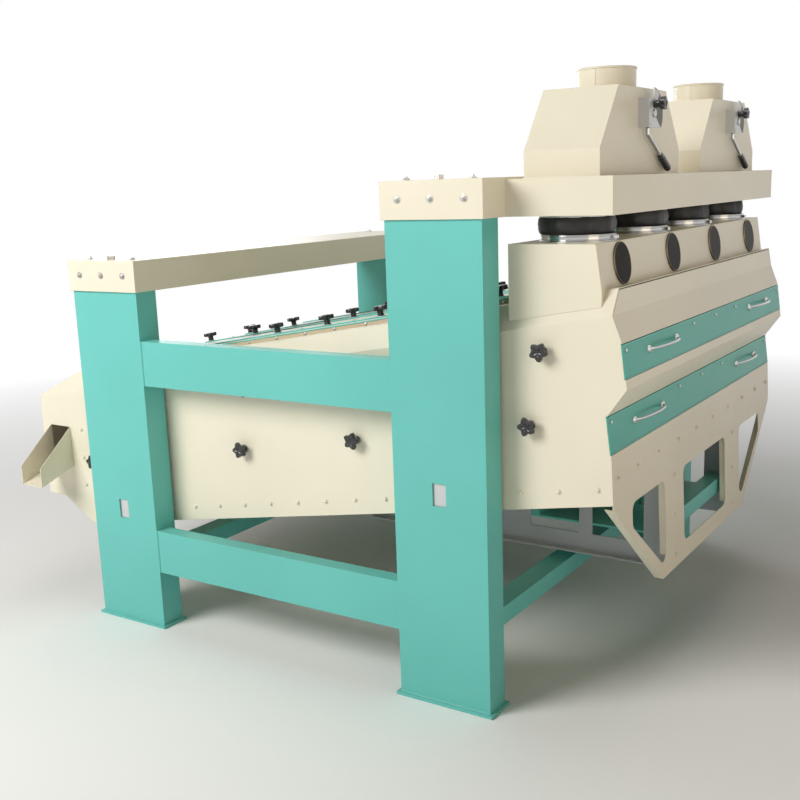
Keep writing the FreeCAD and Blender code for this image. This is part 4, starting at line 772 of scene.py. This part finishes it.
@dataclass
class InletDressing:
    """Hoppers, sleeves and dampers.

    Attributes:
        x: Middle of the hoppers and sleeves.
        hoppers: Middle of each hopper across the machine.
        sleeve_low: Lower end of the sleeves.
        sleeve_high: Upper end of the sleeves.
        platform_top: Top face of the platform.
        hopper_half: Half of a hopper's foot, along and across the machine.
        hopper_top: Top face of the hoppers.
        spigot: Outer radius of the round inlet.
        spigot_tall: Height of the bead over the hoppers' top.
        bracket_x: Outer face of the damper brackets.
        damper_z: Axis of the damper shafts.
        lever_x: Plane in which the levers turn.
        lever_bend: Turn of a lever's outer part from straight down.
        knee: Lever's knee below its axis, and its grip's distance from the knee.
        lock_rise: Lock knob above the damper's axis.
    """

    x: float = 1.059
    hoppers: Flat = (-0.464, 0.464)
    sleeve_low: float = 1.5405
    sleeve_high: float = 1.6
    platform_top: float = 1.712
    hopper_half: Flat = (0.123, 0.3465)
    hopper_top: float = 1.977
    spigot: float = 0.0932
    spigot_tall: float = 0.061
    bracket_x: float = 1.218
    damper_z: float = 1.898
    lever_x: float = 1.198
    lever_bend: float = math.radians(61.0)
    knee: Flat = (0.063, 0.126)
    lock_rise: float = 0.028

    def dress(self) -> dict[str, Finish]:
        """Return the finish of each CAD node of the inlet."""
        made: dict[str, Finish] = {name: CREAM for name in ("feed_platform", "hoppers", "inlet_spigots")}
        made["damper_brackets"] = SILVER
        made["feed_sleeves"] = RUBBER
        for side in ("near", "far"):
            made["damper_shaft_" + side] = ZINC
            made["damper_lever_" + side] = CHROME
            made["damper_grip_" + side] = PLASTIC
            made["lock_knob_" + side] = PLASTIC
        return made

    def rubber_sleeves(self) -> None:
        """Replace the plain sleeves with creased rubber ones under a clamp band."""
        rubber, bands = Shape(), Shape()
        tall = self.sleeve_high - self.sleeve_low
        band_low = self.sleeve_high - 0.0080
        outside = ((0.1185, 0.25), (0.1195, 0.5), (0.1175, 0.75), (0.1140, 0.93), (0.1120, 1.0))
        inside = ((0.1070, 1.0), (0.1090, 0.8), (0.1120, 0.5), (0.1090, 0.0))
        wall = [(0.1115, 0.0), (0.1150, 0.003), *((wide, high * tall) for wide, high in outside + inside)]
        band = [(0.1110, 0.0), (0.1150, 0.0), (0.1156, 0.002), (0.1156, 0.006), (0.1150, 0.0075),
                (0.1110, 0.0075)]
        for number, y in enumerate(INLETS):

            def creases(angle: float, height: float, phase: float = 1.7 * number) -> float:
                """Return the creases of a slack sleeve at an angle and a height."""
                slack = math.sin(math.pi * min(1.0, max(0.0, height / tall)))
                wide = 0.0026 * math.sin(9 * angle + phase)
                fine = 0.0017 * math.sin(17 * angle + 2.3 * phase + 60 * height)
                return slack * (wide + fine + 0.001 * math.sin(31 * angle + 4.1 * phase))

            rubber.turned(wall, (self.x, y, self.sleeve_low), steps=72, ripple=creases)
            bands.turned(band, (self.x, y, band_low), steps=48)
            bands.box((self.x + 0.114, y - 0.008, band_low), (self.x + 0.122, y + 0.008, band_low + 0.007))
        sleeves = rubber.finish("creased_sleeves", RUBBER, sharp=60)
        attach(sleeves, "frame")
        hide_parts("feed_sleeves")
        clamps = bands.finish("sleeve_clamps", ZINC)
        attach(clamps, "frame")

    def hopper_trim(self) -> None:
        """Add the weld round each hopper's foot, the spigot's beaded rim and its upright seam."""
        shape = Shape()
        half_x, half_y = self.hopper_half
        bead = [(self.spigot, 0.0), (0.0958, 0.0015), (0.0958, 0.0045), (self.spigot, 0.006)]
        foot = [(self.spigot, 0.0), (0.0962, 0.0), (0.0952, 0.0025), (self.spigot, 0.003)]
        for y in self.hoppers:
            ring = loop((self.x - half_x, y - half_y), (self.x + half_x, y + half_y))
            shape.pipe([(px, py, self.platform_top + 0.0005) for px, py in ring], 0.0028, steps=6)
            shape.turned(bead, (self.x, y, self.hopper_top + self.spigot_tall), steps=64)
            shape.turned(foot, (self.x, y, self.hopper_top), steps=64)
            shape.box((self.x - 0.0015, y - 0.0938, self.hopper_top + 0.004),
                      (self.x + 0.0015, y - 0.0925, self.hopper_top + 0.06))
        trim = shape.finish("hopper_trim", CREAM)
        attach(trim, "frame")

    def grips(self) -> None:
        """Replace the plain grips and lock knobs with ribbed and lobed ones."""
        way = Vector((0, math.sin(self.lever_bend), -math.cos(self.lever_bend)))
        drop, reach = self.knee
        profile = [(0, 0), (0.0085, 0.0), (0.0105, 0.004), (0.0105, 0.007), (0.0088, 0.012)]
        for i in range(7):
            low = 0.018 + i * 0.0105
            profile += [(0.0098, low), (0.0119, low + 0.0025), (0.0119, low + 0.0065), (0.0098, low + 0.009)]
        profile += [(0.0105, 0.0935), (0.0062, 0.0975), (0, 0.098)]
        for side, y in zip(("near", "far"), self.hoppers):
            knee = Vector((self.lever_x, y, self.damper_z - drop))
            grip = Shape().turned(profile, tuple(knee + way * reach), tuple(way), steps=24)
            grip = grip.finish("grip_" + side, PLASTIC, sharp=50)
            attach(grip, "damper_" + side)
            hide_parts("damper_grip_" + side)
            spot = (self.bracket_x + 0.0005, y, self.damper_z + self.lock_rise)
            knob = Scatter.place("lock_star_" + side, star_knob(0.022, 0.0215, 0.0165), PLASTIC,
                                 [(spot, Axis.RIGHT)], "lock_knob_" + side, spin=0.0)
            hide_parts("lock_knob_" + side)

    def quadrants(self) -> None:
        """Add the toothed fan of each quadrant, coloured dark as a painted reflection, its hub and its
        screws.
        """
        fans, hubs = Shape(), Shape()
        for y in self.hoppers:
            centre = Vector((self.bracket_x + 0.0002, y, self.damper_z))

            def polar(radius: float, degrees: float) -> Point:
                """Return the point of the quadrant at a radius and an angle."""
                turn = math.radians(degrees)
                return tuple(centre + Vector((0, radius * math.cos(turn), radius * math.sin(turn))))

            rim = [polar(0.0745, -34 + 2 * i) for i in range(44)]
            inner = [polar(0.018, 52 - 4 * i) for i in range(22)]
            fans.prism(rim + inner, (0.0008, 0, 0))
            for i in range(31):
                start = -33 + 4 * i
                tooth = [polar(0.0735, start), polar(0.0772, start + 1.2), polar(0.0735, start + 2.4)]
                fans.prism(tooth, (-0.0035, 0, 0))
            hubs.turned([(0, 0), (0.0135, 0), (0.0135, 0.003), (0.0115, 0.0045), (0, 0.0045)],
                        tuple(centre), Axis.RIGHT.value, steps=24)
        # The fans' dark colour is a painted reflection, not a paint of their own.
        for shape, name, finish, slot in ((fans, "quadrant_fans", DARK_REFLECTION, "silver_paint"),
                                          (hubs, "shaft_hubs", ZINC, "zinc")):
            made = shape.finish(name, finish)
            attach(made, "frame")
        spots = [((self.bracket_x, y + dy, self.damper_z + dz), Axis.RIGHT) for y in self.hoppers
                 for dy, dz in ((-0.034, 0.034), (-0.034, -0.034))]
        Scatter.place("bracket_screws", pan_screw(0.0045), ZINC, spots, "frame", seed=23)

    def build(self) -> None:
        """Build all hardware of the inlet."""
        self.rubber_sleeves()
        self.hopper_trim()
        self.grips()
        self.quadrants()


@dataclass
class SieveDressing:
    """The swinging sieve box: covers, knobs, glasses, bolts and apron.

    Attributes:
        half: Outer face of the sides.
        floor: Underside of the box at the middle of the machine.
        deck: Deck at the middle of the machine.
        lift: Top face of the clamp bars at the middle of the machine.
        knob_rows: Place across, first knob, pitch and steps of each knob row on a top cover.
        side_rows: Height over the underside and shift along the machine of each row of side knobs.
        side_steps: Place of each side knob along the machine.
        bolt_rise: Lowest bolt row of the sides above the underside.
        glass: Middle of a glass along the machine and its height.
        glass_lean: Lean of the glasses.
        collar: Middle of the collars along the machine and their foot.
        apron_x: Upper edge of the apron's front face along the machine.
        apron_top: Height of that edge.
        apron_lean: Lean of the apron.
        sheet: Thickness of the apron's sheet.
        strip_span: Ends of the covers' edge strips along the machine.
    """

    half: float = 0.891
    floor: float = 0.520
    deck: float = 1.173
    lift: float = 1.196
    knob_rows: tuple[tuple[float, float, float, tuple[int, ...]], ...] = (
        (0.6, 0.738, 0.246, (0, 1, 2, 3, 4)), (0.14, 0.626, 0.278, (0, 1, 2, 3, 5, 6)))
    side_rows: tuple[Flat, Flat] = ((0.500, 0.042), (0.272, 0.0))
    side_steps: tuple[float, ...] = (0.991, 0.321, -0.197, -1.026)
    bolt_rise: float = 0.053
    glass: Flat = (1.206, 1.4504)
    glass_lean: float = math.radians(8.4)
    collar: Flat = (1.0655, 1.518)
    apron_x: float = 1.2572
    apron_top: float = 0.894
    apron_lean: float = math.tan(math.radians(2.4))
    sheet: float = 0.003
    strip_span: Flat = (-1.075, 0.87)

    def dress(self) -> dict[str, Finish]:
        """Return the finish of each CAD node of the sieve."""
        cream = ("side_panels", "floor_pan", "deck_plate", "top_covers", "feed_box", "upper_end_panel",
                 "drawer_lip", "apron", "outlet_hood", "side_chutes")
        return {**{name: CREAM for name in cream}, "clamp_bars": TEAL, "top_knobs": PLASTIC,
                "side_knobs": PLASTIC, "sight_glasses": GLASS, "inlet_collars": CHROME,
                "screen_runners": ZINC, "hanger_arms": SILVER, "suspension_ropes": ZINC}

    def apron_face(self, y: float, z: float) -> Point:
        """Return the point of the apron's front face at a place across and a height."""
        return (self.apron_x + self.apron_lean * (self.apron_top - z), y, z)

    def knobs(self) -> None:
        """Replace the star knobs with lobed ones and add their studs and washers."""
        top = [((first - i * pitch, side * y, along(first - i * pitch, self.lift)), Axis.DECK)
               for y, first, pitch, steps in self.knob_rows for i in steps for side in (-1, 1)]
        piece = Scatter.place("top_star_knobs", star_knob(), PLASTIC, top, "sieve", seed=31)
        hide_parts("top_knobs")
        sides = [((x + shift, side * self.half, along(x + shift, self.floor + row)), way)
                 for row, shift in self.side_rows for x in self.side_steps for side, way in SIDES]
        piece = Scatter.place("side_star_knobs", star_knob(), PLASTIC, sides, "sieve", seed=32)
        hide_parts("side_knobs")
        washer = Shape().turned(disc(0.0175, 0.002, -0.0003), steps=20)
        Scatter.place("knob_washers", washer, ZINC, top + sides, "sieve", spin=0.0)

    def glasses(self) -> None:
        """Add the rolled rims of the sight glasses."""
        way = (math.cos(self.glass_lean), 0.0, math.sin(self.glass_lean))
        rolled = [(0.0622, 0.0046), (0.0626, 0.0058), (0.0638, 0.0062), (0.0650, 0.0054), (0.0656, 0.0002),
                  (0.0642, 0.0002), (0.0642, 0.0050)]
        shape = Shape()
        for y in INLETS:
            shape.turned(rolled, (self.glass[0], y, self.glass[1]), way, steps=64)
        rims = shape.finish("glass_rims", BRONZE, sharp=60)
        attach(rims, "sieve")

    def collars(self) -> None:
        """Add rolled beads and a bolt lug to each bright collar."""
        shape = Shape()
        lower = [(0.1152, 0.004), (0.1172, 0.0052), (0.1172, 0.0072), (0.1152, 0.0084)]
        upper = [(0.1152, 0.0150), (0.1176, 0.0162), (0.1176, 0.0192), (0.1152, 0.0204)]
        x, foot = self.collar
        for y in INLETS:
            for bead in (lower, upper):
                shape.turned(bead, (x, y, foot), steps=64)
            shape.box((x + 0.1150, y - 0.011, foot + 0.006), (x + 0.1275, y + 0.011, foot + 0.017))
        beads = shape.finish("collar_beads", CHROME)
        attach(beads, "sieve")

    def small_bolts(self) -> None:
        """Add the bolt rows along the sides, the apron, its ribs, the hood and the clamp bars."""
        spots: list[tuple[Point, Axis]] = []
        for x in (1.215 - 0.130 * i for i in range(18)):
            z = along(x, self.floor + self.bolt_rise)
            spots += [((x, side * self.half, z), way) for side, way in SIDES]
        spots += [(self.apron_face(side * y, 0.812), Axis.RIGHT)
                  for y in (0.097, 0.290, 0.486, 0.680, 0.845) for side in (-1, 1)]
        spots += [(self.apron_face(side * 0.342, z), Axis.RIGHT)
                  for side in (-1, 1) for z in (0.700, 0.556, 0.412)]
        spots += [((-1.110, side * self.half, z), way) for side, way in SIDES for z in (0.50, 0.62, 0.74)]
        domes = Scatter.place("sieve_dome_bolts", dome_bolt(0.0066), CREAM, spots, "sieve", seed=33)
        screws = [((first - i * pitch, side * y, along(first - i * pitch, self.lift)), Axis.DECK)
                  for y, first, pitch, steps in self.knob_rows for i in (step + 0.5 for step in steps[:-1])
                  for side in (-1, 1)]
        Scatter.place("sieve_screws", pan_screw(0.0055), ZINC, screws, "sieve", seed=34)

    def seals(self) -> None:
        """Add the tan strips at the foot of each top cover, with their bolts and a teal lip above them."""
        start, end = self.strip_span
        for name, finish, slot, low, high, wide in (
                ("cover_seals", TAN, "wood", 0.0, 0.013, 0.011),
                ("cover_lips", TEAL, "teal_paint", 0.0135, 0.0175, 0.013)):
            shape = Shape()
            for side in (-1, 1):
                for y in (0.680, 0.042):
                    corners = [(x, side * y, along(x, self.deck) + z)
                               for x, z in loop((start, low), (end, high))[:-1]]
                    shape.prism(corners, (0, side * wide, 0))
            strip = shape.finish(name, finish)
            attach(strip, "sieve")
        bolts = [((x, side * 0.691, along(x, self.deck) + 0.0065), way)
                 for side, way in SIDES for x in (0.80 - 0.14 * i for i in range(14))]
        Scatter.place("cover_strip_bolts", dome_bolt(0.005), ZINC, bolts, "sieve", seed=35)

    def flange(self, shape: Shape, ends: tuple[Flat, Flat], low: Flat, high: Flat, deep: float) -> None:
        """Add a strip behind the apron between two points of its face.

        Args:
            shape: Collects the strip.
            ends: Place across and height of both points.
            low: Shift of the strip's first long edge, across and up.
            high: Shift of its other long edge.
            deep: How far the strip reaches back.
        """
        first, last = (self.apron_face(y, z) for y, z in ends)
        corners = [(x - self.sheet, y + shift[0], z + shift[1])
                   for (x, y, z), shift in ((first, low), (last, low), (last, high), (first, high))]
        shape.prism(corners, (-deep, 0, 0))

    def returns(self) -> None:
        """Add the folded return flanges behind the apron's slanted edges and window ribs."""
        shape = Shape()
        for side in (-1, 1):
            edge = ((side * 0.886, 0.722), (side * 0.475, 0.367))
            self.flange(shape, edge, (0.0, 0.0), (-side * self.sheet, 0.0005), 0.028)
            for y in (0.249, 0.434):
                rib = ((side * y, 0.700), (side * y, 0.440))
                self.flange(shape, rib, (0.0, 0.0), (side * self.sheet, 0.0), 0.020)
        self.flange(shape, ((-0.472, 0.3675), (0.472, 0.3675)), (0.0, -0.001), (0.0, 0.002), 0.002)
        flanges = shape.finish("apron_returns", CREAM)
        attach(flanges, "sieve")

    def build(self) -> None:
        """Build all hardware of the sieve."""
        self.knobs()
        self.glasses()
        self.collars()
        self.small_bolts()
        self.seals()
        self.returns()


@dataclass
class DrawerDressing:
    """One screen drawer: bow handles, screws and screen slats.

    Attributes:
        name: Body name without its ending.
        top: Top edge of the front, along the machine and up.
        tall: Height of the front.
        level: Underside of the screen frame at the middle of the machine.
        lean: Slope of the front.
        handle_y: Middle of a handle across the machine.
        handle_half: Half of the length of a handle.
        handle_rise: Handle above the middle of the front.
        handle_bow: How far a handle stands off the front.
        screw_drop: Screws below the front's top edge.
        slat: Width, thickness, pitch and rise above the frame's underside of the screen slats.
    """

    name: str
    top: Flat
    tall: float
    level: float
    lean: float = math.tan(FRONT_ANGLE)
    handle_y: float = 0.555
    handle_half: float = 0.128
    handle_rise: float = 0.008
    handle_bow: float = 0.033
    screw_drop: float = 0.022
    slat: tuple[float, float, float, float] = (0.02, 0.002, 0.26, 0.052)

    def dress(self) -> dict[str, Finish]:
        """Return the finish of each CAD node of the drawer."""
        return {self.name + "_drawer_frame": WOOD, self.name + "_screen": WIRE,
                self.name + "_drawer_front": DRAWER_TEAL, self.name + "_drawer_handles": CHROME}

    def face(self, y: float, drop: float) -> Vector:
        """Return the point of the front at a place across and a distance below its top edge."""
        return Vector((self.top[0] + self.lean * drop, y, self.top[1] - drop))

    def handles(self) -> None:
        """Replace the square pulls with bent round bars on small feet."""
        bars = Shape()
        out = Vector(Axis.STRIP.value)
        for side in (-1, 1):
            middle = self.face(side * self.handle_y, self.tall / 2 - self.handle_rise)
            path = []
            for share in (i / 16 for i in range(17)):
                across = Vector((0, (2 * share - 1) * self.handle_half, 0))
                bow = math.sin(math.pi * share) ** 0.45 * self.handle_bow
                path.append(tuple(middle + across + out * bow))
            bars.pipe(path, 0.0043, steps=12)
            for end in (-1, 1):
                spot = middle + Vector((0, end * self.handle_half, 0))
                foot = [(0, -0.001), (0.0135, -0.001), (0.0135, 0.002), (0.0085, 0.007), (0, 0.008)]
                bars.turned(foot, tuple(spot), tuple(out), steps=20)
        bow = bars.finish(self.name + "_bow_handles", CHROME, sharp=50)
        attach(bow, self.name + "_drawer")
        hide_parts(self.name + "_drawer_handles")

    def screws(self) -> None:
        """Add the screws along the front."""
        spots = [(tuple(self.face(y, self.screw_drop)), Axis.STRIP)
                 for y in (-0.866, -0.246, 0.0, 0.246, 0.866)]
        screws = Scatter.place(self.name + "_front_screws", pan_screw(0.0062), ZINC, spots,
                               self.name + "_drawer", seed=41)

    def folds(self) -> None:
        """Add the hemmed upper and lower edges of the front."""
        shape = Shape()
        for drop in (0.0045, self.tall - 0.0045):
            a, b = self.face(-0.888, drop), self.face(0.888, drop)
            shape.pipe([tuple(a), tuple(b)], 0.0024, steps=8)
        hems = shape.finish(self.name + "_front_hems", TEAL)
        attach(hems, self.name + "_drawer")

    def slats(self) -> None:
        """Add the slats that hold the screen down across its frame."""
        shape = Shape()
        wide, thick, pitch, rise = self.slat
        for x in (-0.85 + pitch * i for i in range(8)):
            corners = [(a, -0.865, along(a, self.level + rise) + b)
                       for a, b in loop((x, 0.0), (x + wide, thick))[:-1]]
            shape.prism(corners, (0, 1.73, 0))
        slats = shape.finish(self.name + "_screen_slats", WOOD)
        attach(slats, self.name + "_drawer")

    def build(self) -> None:
        """Build all hardware of the drawer."""
        self.handles()
        self.screws()
        self.folds()
        self.slats()


@dataclass
class DriveDressing:
    """Keels, motor and eccentric drive under the sieve.

    Attributes:
        motor_x: Axis of the motor.
        wheel_x: Axis of the eccentric wheel.
        plate_top: Top face of the drive plate.
        motor_radius: Outer radius of the motor's body.
        motor_high: Top of the motor.
        wheel_low: Underside of the eccentric wheel.
        housing_bolts: Radius of the bolt circle of the bearing housing.
    """

    motor_x: float = 0.990
    wheel_x: float = 0.450
    plate_top: float = 0.478
    motor_radius: float = 0.090
    motor_high: float = 0.648
    wheel_low: float = 0.410
    housing_bolts: float = 0.076

    def dress(self) -> dict[str, Finish]:
        """Return the finish of each CAD node of the drive."""
        return {"keels": GREY, "cross_members": TEAL, "drive_plate": TEAL, "motor": TEAL,
                "bearing_housing": CAST, "eccentric_wheel": CAST, "balance_weight": CAST,
                "motor_pulley": CAST, "eccentric_shaft": ZINC, "motor_shaft": ZINC, "drive_belts": RUBBER}

    def motor(self) -> None:
        """Add cooling fins and the fan cowl to the motor."""
        fins = Shape()
        for i in range(28):
            angle = 2 * math.pi * i / 28
            if abs(angle - math.pi) < 0.55:
                continue
            a = Vector((math.cos(angle), math.sin(angle), 0))
            b = Vector((-a.y, a.x, 0)) * 0.0016
            base = Vector((self.motor_x, 0, self.plate_top + 0.014)) + a * (self.motor_radius - 0.001)
            tip = base + a * 0.013
            fins.prism([tuple(p) for p in (base - b, base + b, tip + b, tip - b)], (0, 0, 0.118))
        fan = [(0, 0), (0.094, 0), (0.0945, 0.03), (0.088, 0.036), (0.03, 0.037), (0, 0.037)]
        fins.turned(fan, (self.motor_x, 0, self.motor_high - 0.034), steps=48)
        cowl = fins.finish("motor_fins", TEAL)
        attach(cowl, "sieve")

    def bolts(self) -> None:
        """Add the bolts of the bearing housing and the balance weight."""
        spots = []
        for angle in (2 * math.pi * i / 6 for i in range(6)):
            x = self.wheel_x + self.housing_bolts * math.cos(angle)
            y = self.housing_bolts * math.sin(angle)
            spots += [((x, y, self.plate_top + 0.012), Axis.UP), ((x, y, self.plate_top - 0.008), Axis.DOWN)]
        Scatter.place("housing_bolts", hex_bolt(0.007), ZINC, spots, "sieve", seed=51)
        weights = [((self.wheel_x + 0.1, y, self.wheel_low - 0.016), Axis.DOWN) for y in (-0.07, 0.0, 0.07)]
        Scatter.place("weight_bolts", hex_bolt(0.009), ZINC, weights, "eccentric", seed=52)

    def edges(self) -> None:
        """Add the folded stiffening flanges along the foot of the keel plates."""
        shape = Shape()
        for low in (-0.372, 0.345):
            shape.box((0.002, low, 0.3662), (1.268, low + 0.027, 0.3712))
        flanges = shape.finish("keel_flanges", GREY)
        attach(flanges, "sieve")

    def build(self) -> None:
        """Build all hardware of the drive."""
        self.motor()
        self.bolts()
        self.edges()


@dataclass
class Studio:
    """Floor, lights, white surround and the photograph's camera.

    Attributes:
        eye: Place of the camera.
        yaw: Camera's turn about the upright axis in degrees.
        pitch: Its downward tilt.
        roll: Its roll.
        lens: Focal length in millimetres for a sensor 36 mm wide.
        shift: Lens shift.
        base: Strength of the surround as a light.
        lights: Name, place, target, size, power and colour of each area light.
    """

    eye: Point = (2.4127, -3.7678, 1.7104)
    yaw: float = 33.48
    pitch: float = 12.18
    roll: float = -2.01
    lens: float = 47.405
    shift: Flat = (-0.0009, 0.0135)
    base: float = 0.09
    lights: tuple[tuple[str, Point, Point, float, float, Point], ...] = (
        ("key", (-2.2, -5.4, 4.2), (0.0, -0.6, 0.9), 3.4, 318.0, (1.0, 0.985, 0.955)),
        ("fill", (5.2, -2.2, 2.4), (0.9, 0.0, 0.9), 3.6, 40.0, (1.0, 0.80, 0.56)),
        ("top", (0.4, 0.6, 5.4), (0.1, 0.0, 1.0), 4.0, 60.0, (1.0, 0.97, 0.92)),
        ("back", (-4.6, 3.4, 3.0), (0.0, 0.0, 1.0), 2.6, 50.0, (0.96, 0.98, 1.0)))

    def floor(self) -> None:
        """Lay a plain pale floor."""
        slab = Shape().box((-30, -30, -0.02), (30, 30, -0.0006))
        ground = slab.finish("floor", Floor("floor", (0.92, 0.92, 0.91, 1.0)))

    def light(self) -> None:
        """Place the area lights."""
        for name, place, target, size, power, colour in self.lights:
            data = bpy.data.lights.new(name, "AREA")
            data.shape, data.size, data.energy, data.color = "DISK", size, power, colour
            lamp = bpy.data.objects.new(name, data)
            lamp.location = place
            lamp.rotation_euler = (Vector(target) - Vector(place)).to_track_quat("-Z", "Y").to_euler()
            bpy.context.scene.collection.objects.link(lamp)

    def surround(self) -> None:
        """Make the world white to the camera and in reflections, and softer as a light."""
        world = bpy.data.worlds.new("studio")
        bpy.context.scene.world = world
        world.use_nodes = True
        g = Graph(world.node_tree)
        world.node_tree.nodes.clear()
        path = g.add("ShaderNodeLightPath").outputs
        direct = g.math("MAXIMUM", path["Is Camera Ray"], path["Is Glossy Ray"])
        seen = g.math("MAXIMUM", direct, path["Is Transmission Ray"])
        strength = g.math("ADD", self.base, g.math("MULTIPLY", seen, 1.0 - self.base))
        back = g.add("ShaderNodeBackground", {"Color": WHITE, "Strength": strength})
        g.add("ShaderNodeOutputWorld", {"Surface": back.outputs[0]})

    def camera(self) -> None:
        """Set the camera up as the photograph's."""
        data = bpy.data.cameras.new("photo_camera")
        data.lens, data.sensor_width = self.lens, 36.0
        data.shift_x, data.shift_y = self.shift
        yaw, pitch, roll = (math.radians(a) for a in (self.yaw, self.pitch, self.roll))
        ahead = Vector((-math.sin(yaw) * math.cos(pitch), math.cos(yaw) * math.cos(pitch), -math.sin(pitch)))
        level = Vector((math.cos(yaw), math.sin(yaw), 0))
        upright = level.cross(ahead)
        right = math.cos(roll) * level + math.sin(roll) * upright
        up = -math.sin(roll) * level + math.cos(roll) * upright
        turn = Matrix((right, up, -ahead)).transposed().to_4x4()
        camera = bpy.data.objects.new("photo_camera", data)
        camera.matrix_world = Matrix.Translation(self.eye) @ turn
        bpy.context.scene.collection.objects.link(camera)
        bpy.context.scene.camera = camera
        bpy.context.scene.view_settings.view_transform = "Standard"

    def build(self) -> None:
        """Build the whole studio."""
        self.floor()
        self.light()
        self.surround()
        self.camera()


def paint_nodes(nodes: dict[str, bpy.types.Object], finishes: dict[str, Finish]) -> None:
    """Give CAD nodes their finishes without touching their meshes.

    Args:
        nodes: CAD node name to object.
        finishes: CAD node name to finish.
    """
    for name, finish in finishes.items():
        node = nodes[name]
        node.data.materials.clear()
        node.data.materials.append(finish.build())


def main() -> None:
    """Build the scene: finishes and hardware in order, then the studio."""
    logging.basicConfig(level=logging.INFO, format="%(name)s: %(message)s")
    for spare in list(bpy.data.objects):
        if spare.get("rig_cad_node") is None and not spare.name.startswith("body:"):
            bpy.data.objects.remove(spare, do_unlink=True)
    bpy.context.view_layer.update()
    assemblies = (FrameDressing(), InletDressing(), SieveDressing(),
                  DrawerDressing("upper", (1.287, 1.233), 0.106, 0.956),
                  DrawerDressing("lower", (1.2426, 1.013), 0.119, 0.739), DriveDressing())
    finished: set[str] = set()
    for assembly in assemblies:
        finishes = assembly.dress()
        paint_nodes(frame["nodes"], finishes)
        finished |= set(finishes)
        assembly.build()
        log.info("%s: %d nodes finished", type(assembly).__name__, len(finishes))
    log.info("nodes without a finish: %s", sorted(set(frame["nodes"]) - finished))
    Studio().build()


if __name__ == "__main__":
    main()
